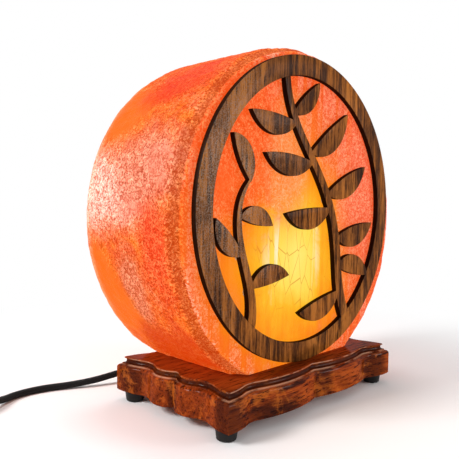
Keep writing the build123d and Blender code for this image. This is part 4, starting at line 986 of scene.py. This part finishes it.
@dataclass
class SaltDrum:
    """The disc of salt: turned round its axis, dressed by hand, cut flat below and bored for the bulb."""

    bevel_in: float = 4.5 * MM
    bevel_deep: float = 8.0 * MM
    face_off_axis: float = 2.3 * MM
    back_round_in: float = 6.0 * MM
    back_round_deep: float = 17.0 * MM
    bore_radius: float = 25.0 * MM
    bore_depth: float = 112.0 * MM
    bore_end_round: float = 9.0 * MM
    steps_round: int = 480
    side_step: float = 1.9 * MM
    face_step: float = 2.6 * MM
    scallop_size: float = 15.0 * MM
    scallop_depth: float = 1.0 * MM
    chip_depth: float = 0.5 * MM
    crest_depth: float = 0.7 * MM
    rim_ends: Pair = (9.0 * MM, 1.0 * MM)
    crest_ends: Pair = (6.0 * MM, 15.0 * MM)
    over_cut: float = 10.0 * MM
    seed: int = 4

    def __post_init__(self) -> None:
        """Takes the disc's place from the frame."""
        low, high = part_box("salt_drum")
        self.radius = (high.x - low.x) / 2
        self.front, self.back = low.y, high.y
        self.axis = Vector((0.0, 0.0, high.z - self.radius))
        self.foot = low.z
        self.bore_y = (low.y + high.y) / 2

    def build(self, palette: Palette) -> bpy.types.Object:
        """Makes and dresses the disc.

        Args:
            palette: The lamp's finishes.

        Returns:
            The piece.
        """
        bm = bmesh.new()
        self._turn(bm)
        self._dress_by_hand(bm)
        self._cut_foot(bm)
        piece = from_bmesh("salt_disc", bm)
        self._drill(piece)
        palette.dress(piece, "salt")
        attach(piece, "root")
        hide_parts("salt_drum")
        return piece

    def _profile(self) -> list[tuple[float, float]]:
        """The half outline from the face's middle round the rim to the back's middle.

        Returns:
            Points, each a radius and a y.
        """
        edge = self.radius - self.bevel_in
        count = round(edge / self.face_step)
        points = [(edge * i / count, self.front) for i in range(count + 1)]
        for i in range(1, 7):
            points.append((edge + self.bevel_in * i / 6, self.front + self.bevel_deep * i / 6))
        start, end = self.front + self.bevel_deep, self.back - self.back_round_deep
        count = round((end - start) / self.side_step)
        points += [(self.radius, start + (end - start) * (i + 1) / count) for i in range(count)]
        for i in range(1, 10):
            turn = math.pi / 2 * i / 9
            inward = self.back_round_in * (1 - math.cos(turn))
            points.append((self.radius - inward, end + self.back_round_deep * math.sin(turn)))
        rim = points[-1][0]
        count = round(rim / (2 * self.face_step))
        points += [(rim * (1 - (i + 1) / count), self.back) for i in range(count)]
        return points

    def _turn(self, bm: bmesh.types.BMesh) -> None:
        """Spins the half outline round the disc's axis.

        Args:
            bm: The empty bmesh to fill.
        """
        verts = [bm.verts.new((radius, y, self.axis.z)) for radius, y in self._profile()]
        edges = [bm.edges.new(pair) for pair in zip(verts, verts[1:])]
        bmesh.ops.spin(
            bm,
            geom=verts + edges,
            cent=self.axis,
            axis=(0, 1, 0),
            angle=2 * math.pi,
            steps=self.steps_round,
            use_merge=True,
        )
        bmesh.ops.remove_doubles(bm, verts=bm.verts, dist=0.02 * MM)
        bmesh.ops.recalc_face_normals(bm, faces=bm.faces)
        for vert in bm.verts:
            vert.co.x += self.face_off_axis * max(0.0, 1 - (vert.co.y - self.front) / self.bevel_deep)

    def _dress_by_hand(self, bm: bmesh.types.BMesh) -> None:
        """Moves each point inwards as the dressing tool and the broken crystals leave it.

        Args:
            bm: The turned disc.
        """
        noise.seed_set(self.seed)
        for vert in bm.verts:
            place = vert.co.copy()
            out = Vector((place.x, 0.0, place.z - self.axis.z))
            radius = out.length
            rim = smoothstep(*(self.radius - inset for inset in self.rim_ends), radius)
            crest = rim * (1 - smoothstep(*self.crest_ends, place.y - self.front))
            depth = self._scallops(place) * rim + self._chips(place) * (0.35 + 0.65 * rim)
            depth += crest * self._crest(place)
            if rim > 0:
                vert.co -= out.normalized() * depth * rim
            inward = 1.0 if place.y < self.bore_y else -1.0
            vert.co.y += inward * (self._chips(place * 1.7) * 0.5 * (1 - rim) + crest * 0.5 * depth)

    def _scallops(self, place: Vector) -> float:
        """The shallow hollows that the tool leaves, with ridges between."""
        warp = noise.noise_vector(place * 45) * 0.25
        near = noise.voronoi(place / self.scallop_size + warp)[0]
        hollow = 1 - min(1.0, near[0] / 0.75) ** 2
        swell = noise.fractal(place * 18, 1.0, 2.0, 3)
        return self.scallop_depth * (0.55 * hollow + 0.45 + 0.5 * swell)

    def _chips(self, place: Vector) -> float:
        """The broken crystals' small relief."""
        rough = noise.fractal(place * 240, 0.9, 2.1, 4)
        return self.chip_depth * max(0.0, 0.5 + 0.7 * rough)

    def _crest(self, place: Vector) -> float:
        """The worn and broken arris between the rim and the face."""
        wave = noise.fractal(place * 30 + Vector((3.0, 1.0, 7.0)), 1.0, 2.0, 4)
        return max(0.0, self.crest_depth * (0.6 + wave))

    def _cut_foot(self, bm: bmesh.types.BMesh) -> None:
        """Cuts the flat foot and closes it.

        Args:
            bm: The dressed disc.
        """
        cut = bmesh.ops.bisect_plane(
            bm,
            geom=[*bm.verts, *bm.edges, *bm.faces],
            plane_co=(0, 0, self.foot),
            plane_no=(0, 0, -1),
            clear_outer=True,
        )
        rim = [e for e in cut["geom_cut"] if isinstance(e, bmesh.types.BMEdge)]
        bmesh.ops.holes_fill(bm, edges=rim, sides=0)
        bmesh.ops.recalc_face_normals(bm, faces=bm.faces)

    def _drill(self, piece: bpy.types.Object) -> None:
        """Drills the blind bore, round at its head.

        Args:
            piece: The disc.
        """
        bm = bmesh.new()
        deep = self.bore_depth + self.over_cut
        bmesh.ops.create_cone(
            bm,
            cap_ends=True,
            segments=96,
            radius1=self.bore_radius,
            radius2=self.bore_radius,
            depth=deep,
            matrix=Matrix.Translation((0, self.bore_y, self.foot - self.over_cut + deep / 2)),
        )
        top = [e for e in bm.edges if all(v.co.z > self.foot + self.bore_depth - 1 * MM for v in e.verts)]
        bmesh.ops.bevel(
            bm, geom=top, offset=self.bore_end_round, segments=8, profile=0.5, affect="EDGES", material=-1
        )
        drill = from_bmesh("bore_drill", bm)
        cut = piece.modifiers.new("bore", "BOOLEAN")
        cut.operation, cut.object, cut.solver = "DIFFERENCE", drill, "EXACT"
        apply_modifiers(piece)
        bpy.data.objects.remove(drill)


# ---- cut wood


@dataclass
class CutPanel:
    """A flat laser-cut panel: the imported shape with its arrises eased."""

    node: str
    name: str
    arris: float = 0.25 * MM
    sharp: float = math.radians(60)

    def build(self, palette: Palette) -> bpy.types.Object:
        """Makes and dresses the panel.

        Args:
            palette: The lamp's finishes.

        Returns:
            The piece.
        """
        bm = bmesh.new()
        bm.from_mesh(frame["nodes"][self.node].data)
        bmesh.ops.remove_doubles(bm, verts=bm.verts, dist=0.005 * MM)
        bmesh.ops.dissolve_limit(bm, angle_limit=math.radians(0.5), verts=bm.verts, edges=bm.edges)
        sharp = [e for e in bm.edges if len(e.link_faces) == 2 and e.calc_face_angle() > self.sharp]
        bmesh.ops.bevel(
            bm, geom=sharp, offset=self.arris, segments=2, profile=0.5, affect="EDGES", material=-1
        )
        piece = from_bmesh(self.name, bm)
        palette.dress(piece, "fretwork_wood")
        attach(piece, "root")
        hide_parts(self.node)
        return piece


# ---- the lead

# where the free lead leaves the board, in millimetres
LEAD_EXIT: Point = (-22.0, 55.0, 9.9)


def spline_points(route: list[Point], resolution: int) -> list[Vector]:
    """The points of a route's smooth line.

    Args:
        route: The line's control points.
        resolution: How many points each stretch gets.

    Returns:
        Points along the line, in order.
    """
    curve = bpy.data.curves.new("route", "CURVE")
    curve.dimensions = "3D"
    curve.resolution_u = resolution
    line = curve.splines.new("NURBS")
    line.points.add(len(route) - 1)
    for point, place in zip(line.points, route):
        point.co = (*place, 1.0)
    line.order_u = 3
    line.use_endpoint_u = True
    holder = bpy.data.objects.new("route", curve)
    mesh = bpy.data.meshes.new_from_object(holder)
    points = [vert.co.copy() for vert in mesh.vertices]
    bpy.data.objects.remove(holder)
    bpy.data.curves.remove(curve)
    bpy.data.meshes.remove(mesh)
    return points


def metres(route: Iterable[Point]) -> list[Point]:
    """A route given in millimetres, in metres."""
    return [tuple(c * MM for c in point) for point in route]


@dataclass
class BraidedCord:
    """A stretch of braided cord: a round tube whose surface carries the braid's relief."""

    name: str
    route: list[Point]
    nodes: tuple[str, ...]
    resolution: int = 20
    diameter: float = 5.0 * MM
    sides: int = 20
    relief: float = 0.10 * MM
    strands: int = 8
    pitch: float = 4.2 * MM

    def build(self, palette: Palette) -> bpy.types.Object:
        """Makes and dresses the cord.

        Args:
            palette: The lamp's finishes.

        Returns:
            The piece.
        """
        self.points = spline_points(self.route, self.resolution)
        steps = ((b - a).length for a, b in zip(self.points, self.points[1:]))
        self.along = [0.0, *accumulate(steps)]
        bm = bmesh.new()
        rings = self._rings(bm)
        self._skin(bm, rings)
        bmesh.ops.recalc_face_normals(bm, faces=bm.faces)
        piece = from_bmesh(self.name, bm)
        palette.dress(piece, "braided_cord")
        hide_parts(*self.nodes)
        return piece

    def _rings(self, bm: bmesh.types.BMesh) -> list[list[bmesh.types.BMVert]]:
        """Sets a ring of points round every point of the line, turned with it without twist.

        Args:
            bm: The bmesh to add to.

        Returns:
            The rings, in order.
        """
        forward = (self.points[1] - self.points[0]).normalized()
        side = forward.orthogonal().normalized()
        rings, last = [], len(self.points) - 1
        for i, point in enumerate(self.points):
            heading = (self.points[min(last, i + 1)] - self.points[max(0, i - 1)]).normalized()
            side = (side - heading * side.dot(heading)).normalized()
            over = heading.cross(side)
            ring = bmesh.ops.create_circle(bm, segments=self.sides, radius=self.diameter / 2)["verts"]
            for j, vert in enumerate(ring):
                turn = 2 * math.pi * j / self.sides
                radius = self.diameter / 2 + self.relief * (self._weave(turn, self.along[i]) - 0.6)
                vert.co = point + (side * math.cos(turn) + over * math.sin(turn)) * radius
            rings.append(ring)
        return rings

    def _weave(self, turn: float, travelled: float) -> float:
        """The braid's height.

        Args:
            turn: Where on the cord's round, as an angle.
            travelled: How far along the cord.

        Returns:
            The height, 0 to 1.
        """
        phase = 2 * math.pi * travelled / self.pitch
        one = math.cos(self.strands * turn / 2 + phase)
        other = math.cos(self.strands * turn / 2 - phase)
        return 0.5 + 0.5 * one * other

    def _skin(self, bm: bmesh.types.BMesh, rings: list[list[bmesh.types.BMVert]]) -> None:
        """Joins the rings, closes the ends and writes the map: turns round and metres along.

        Args:
            bm: The bmesh that holds the rings.
            rings: The rings, in order.
        """
        layer = bm.loops.layers.uv.new("UVMap")
        for i, (ring, following) in enumerate(zip(rings, rings[1:])):
            for j in range(self.sides):
                k = (j + 1) % self.sides
                face = bm.faces.new((ring[j], ring[k], following[k], following[j]))
                start, end = self.along[i : i + 2]
                corners = ((j, start), (j + 1, start), (j + 1, end), (j, end))
                for loop, (step, far) in zip(face.loops, corners):
                    loop[layer].uv = (step / self.sides, far)
        bm.faces.new(rings[0][::-1])
        bm.faces.new(rings[-1])


@dataclass
class MainsLead:
    """The whole free lead: to the dimmer, through the put-away coil and on to the plug."""

    diameter: float = 5.0 * MM
    coil_centre: Pair = (-281.0, 10.0)
    coil_outer: float = 39.0
    coil_pitch: float = 5.7
    coil_rise: float = 5.6
    coil_height: float = 3.4
    turns_in: float = 3.25
    turns_climb: float = 0.5
    points_per_turn: int = 16
    lamp_route: tuple[Point, ...] = (
        LEAD_EXIT,
        (-26.42, 64.08, 9.9),
        (-34.6, 74.6, 9.7),
        (-48.5, 81.6, 9.1),
        (-69.5, 84.6, 8.1),
        (-88.0, 89.6, 4.9),
        (-105.5, 98.2, 2.7),
        (-124.5, 105.6, 2.5),
        (-143.0, 105.6, 2.5),
        (-157.0, 98.8, 3.2),
        (-168.5, 92.0, 6.6),
        (-178.5, 87.6, 8.0),
        (-187.5, 85.4, 8.0),
    )
    feed_route: tuple[Point, ...] = (
        (-286.58, 61.18, 8.0),
        (-297.29, 58.57, 8.0),
        (-308.2, 51.5, 6.6),
        (-316.4, 40.8, 4.6),
        (-320.43, 28.0, 3.4),
    )
    tail_route: tuple[Point, ...] = (
        (-320.33, -5.0, 9.0),
        (-318.0, -15.3, 8.2),
        (-312.8, -23.9, 6.85),
        (-306.8, -30.0, 6.85),
    )

    def coil_points(self) -> list[Point]:
        """The coil's turns: in, up a layer and out again.

        Returns:
            Points along the coil.
        """
        total = 2 * self.turns_in + self.turns_climb
        count = round(total * self.points_per_turn)
        inner = self.coil_outer - self.coil_pitch * self.turns_in
        points, (x, y) = [], self.coil_centre
        for i in range(count + 1):
            turn, height = total * i / count, 0.0
            if turn <= self.turns_in:
                radius = self.coil_outer - self.coil_pitch * turn
            elif turn <= self.turns_in + self.turns_climb:
                share = (turn - self.turns_in) / self.turns_climb
                radius = inner - self.coil_pitch * self.turns_climb * (share - share**2)
                height = self.coil_rise * (1 - math.cos(math.pi * share)) / 2
            else:
                radius = inner + self.coil_pitch * (turn - self.turns_in - self.turns_climb)
                height = self.coil_rise
            angle = math.pi + 2 * math.pi * turn
            sides = (x + radius * math.cos(angle), y + radius * math.sin(angle))
            points.append((*sides, self.coil_height + height))
        return points

    def build(self, palette: Palette) -> list[bpy.types.Object]:
        """Args:
            palette: The lamp's finishes.

        Returns:
            The two pieces.
        """
        to_dimmer = metres(self.lamp_route)
        to_plug = metres([*self.feed_route, *self.coil_points(), *self.tail_route])
        first = BraidedCord("lead_to_dimmer", to_dimmer, ("mains_lead",), resolution=24)
        second = BraidedCord("lead_to_plug", to_plug, ("coil_feed", "cord_coil", "plug_lead"), 10)
        pieces = [first.build(palette), second.build(palette)]
        for piece in pieces:
            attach(piece, "root")
        dimmer = ["dimmer_base", "dimmer_cover", "dimmer_screws", "dimmer_wheel", "dimmer_circuit"]
        dimmer += ["potentiometer", "dimmer_components", "dimmer_sleeves"]
        return pieces


@dataclass
class InnerLead:
    """The lead's held stretch: along the channel, up the bore's wall and over to the lampholder.

    Its slack stands against the wall, so that the lampholder and the bulb pass it when they are drawn down.
    """

    # how far off the bore's axis, and how high
    bends: tuple[Pair, ...] = (
        (0.0, 38.0),
        (0.0, 33.5),
        (1.1, 29.5),
        (4.0, 26.6),
        (8.0, 25.5),
        (11.5, 25.5),
        (15.5, 24.4),
        (18.4, 21.5),
        (19.5, 17.5),
        (20.5, 13.7),
        (23.2, 10.9),
        (27.0, 9.9),
        (34.0, 9.9),
        (42.0, 9.9),
    )
    giving: Pair = (12.5, 18.0)

    def build(self, palette: Palette) -> bpy.types.Object:
        """Makes the stretch between the board and the lampholder.

        Args:
            palette: The lamp's finishes.

        Returns:
            The piece.
        """
        _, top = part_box("holder_lead")
        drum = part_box("salt_drum")
        y = (drum[0].y + drum[1].y) / 2
        end = Vector(LEAD_EXIT) * MM
        out = Vector((end.x, end.y - y, 0.0)).normalized()
        bends = [tuple(Vector((0.0, y, up * MM)) + out * away * MM) for away, up in self.bends]
        route = [(0.0, y, top.z), *bends, tuple(end)]
        cord = BraidedCord("lead_inside", route, ("inner_lead", "holder_lead"))
        piece = cord.build(palette)
        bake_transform(piece)
        return piece


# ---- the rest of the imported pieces


class PackedPieces:
    """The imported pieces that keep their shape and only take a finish."""

    def dress(self, palette: Palette) -> None:
        """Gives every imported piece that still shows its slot's finish."""
        slots = {part["node"]: part["material_slot"] for part in frame["record"]["subparts"]}
        for name, piece in frame["nodes"].items():
            palette.dress(piece, slots[name])


# ---- studio


@dataclass
class Studio:
    """The pale table, the soft lights and the camera."""

    camera_place: Point = (-0.3291, -0.2913, 0.1470)
    camera_yaw: float = 45.33
    camera_pitch: float = 3.17
    camera_roll: float = 0.97
    lens: float = 45.5
    sensor: float = 36.0
    ambient: float = 0.42
    shadow_ends: Pair = (0.17, 0.42)
    aim: Point = (0.0, 0.0, 0.1)
    # a broad key from behind on the left, a fill from the front right and a light above: place, side, watts
    lights: tuple[tuple[str, Point, float, float], ...] = (
        ("key", (-1.15, 0.35, 0.85), 0.40, 15.0),
        ("fill", (0.72, -1.00, 0.40), 0.45, 6.0),
        ("top", (0.1, 0.2, 1.5), 0.5, 5.0),
    )

    def build(self) -> None:
        """Builds the whole studio."""
        self._table()
        self._world()
        for light in self.lights:
            self._hang(*light)
        self._camera()

    def _table(self) -> None:
        """The table top: pale, with the lamp's shadow on it."""
        bm = bmesh.new()
        bmesh.ops.create_grid(bm, x_segments=1, y_segments=1, size=4.0)
        table = from_bmesh("table_top", bm, smooth=False)
        g = Graph("pale_table")
        away = g.length(g.place())
        shade = g.add("ShaderNodeBsdfDiffuse", {}, {"Color": linear(252, 250, 250)})
        white = g.add("ShaderNodeEmission", {}, {"Color": WHITE, "Strength": 1.0})
        far = away.rise(*self.shadow_ends) * self._seen(g)
        both = g.add("ShaderNodeMixShader", {}, {0: far, 1: shade, 2: white})
        g.add("ShaderNodeOutputMaterial", {}, {"Surface": both})
        table.data.materials.append(g.material)

    def _seen(self, g: Graph) -> Signal:
        """Tells where the background is seen, straight on, in a gloss or through glass.

        Args:
            g: The graph to add to.

        Returns:
            1 where it is seen and 0 where it only gives light.
        """
        rays = ("Is Camera Ray", "Is Glossy Ray", "Is Transmission Ray")
        straight, gloss, through = (g.add("ShaderNodeLightPath", output=ray) for ray in rays)
        return straight.most(gloss).most(through)

    def _world(self) -> None:
        """Soft light from all round, white behind the lamp."""
        world = bpy.data.worlds.new("studio")
        bpy.context.scene.world = world
        world.use_nodes = True
        g = Graph.over(world.node_tree)
        strength = self.ambient + (1.0 - self.ambient) * self._seen(g)
        light = g.add("ShaderNodeBackground", {}, {"Color": WHITE, "Strength": strength})
        g.add("ShaderNodeOutputWorld", {}, {"Surface": light})

    def _hang(self, name: str, place: Point, size: float, power: float) -> None:
        """Hangs a square soft light that is aimed at the lamp.

        Args:
            name: The light's name.
            place: Where it hangs.
            size: Its side.
            power: Its watts.
        """
        data = bpy.data.lights.new(name, "AREA")
        data.size, data.energy = size, power
        light = add_object(name, data)
        light.location = place
        light.rotation_euler = (Vector(self.aim) - Vector(place)).to_track_quat("-Z", "Y").to_euler()

    def _camera(self) -> None:
        """The photograph's view of the lamp."""
        data = bpy.data.cameras.new("camera")
        data.lens, data.sensor_width = self.lens, self.sensor
        camera = add_object("camera", data)
        turns = (math.radians(90 - self.camera_pitch), 0, math.radians(-self.camera_yaw))
        level = Euler(turns, "XYZ").to_matrix()
        roll = Matrix.Rotation(math.radians(self.camera_roll), 3, "Z")
        camera.matrix_world = Matrix.Translation(self.camera_place) @ (level @ roll).to_4x4()
        bpy.context.scene.camera = camera
        bpy.context.scene.view_settings.view_transform = "Standard"


def main() -> None:
    """Builds the lamp's looks in order."""
    logging.basicConfig(level=logging.INFO, format="%(name)s: %(message)s")
    palette = Palette()
    PackedPieces().dress(palette)
    builders = [
        SaltDrum(),
        CutPanel("ring_frame", "cut_ring"),
        CutPanel("bough_fretwork", "cut_bough"),
        MainsLead(),
        InnerLead(),
    ]
    for builder in builders:
        made = builder.build(palette)
        for piece in made if isinstance(made, list) else [made]:
            LOG.info("%s: %d faces", piece.name, len(piece.data.polygons))
    Studio().build()


if __name__ == "__main__":
    main()
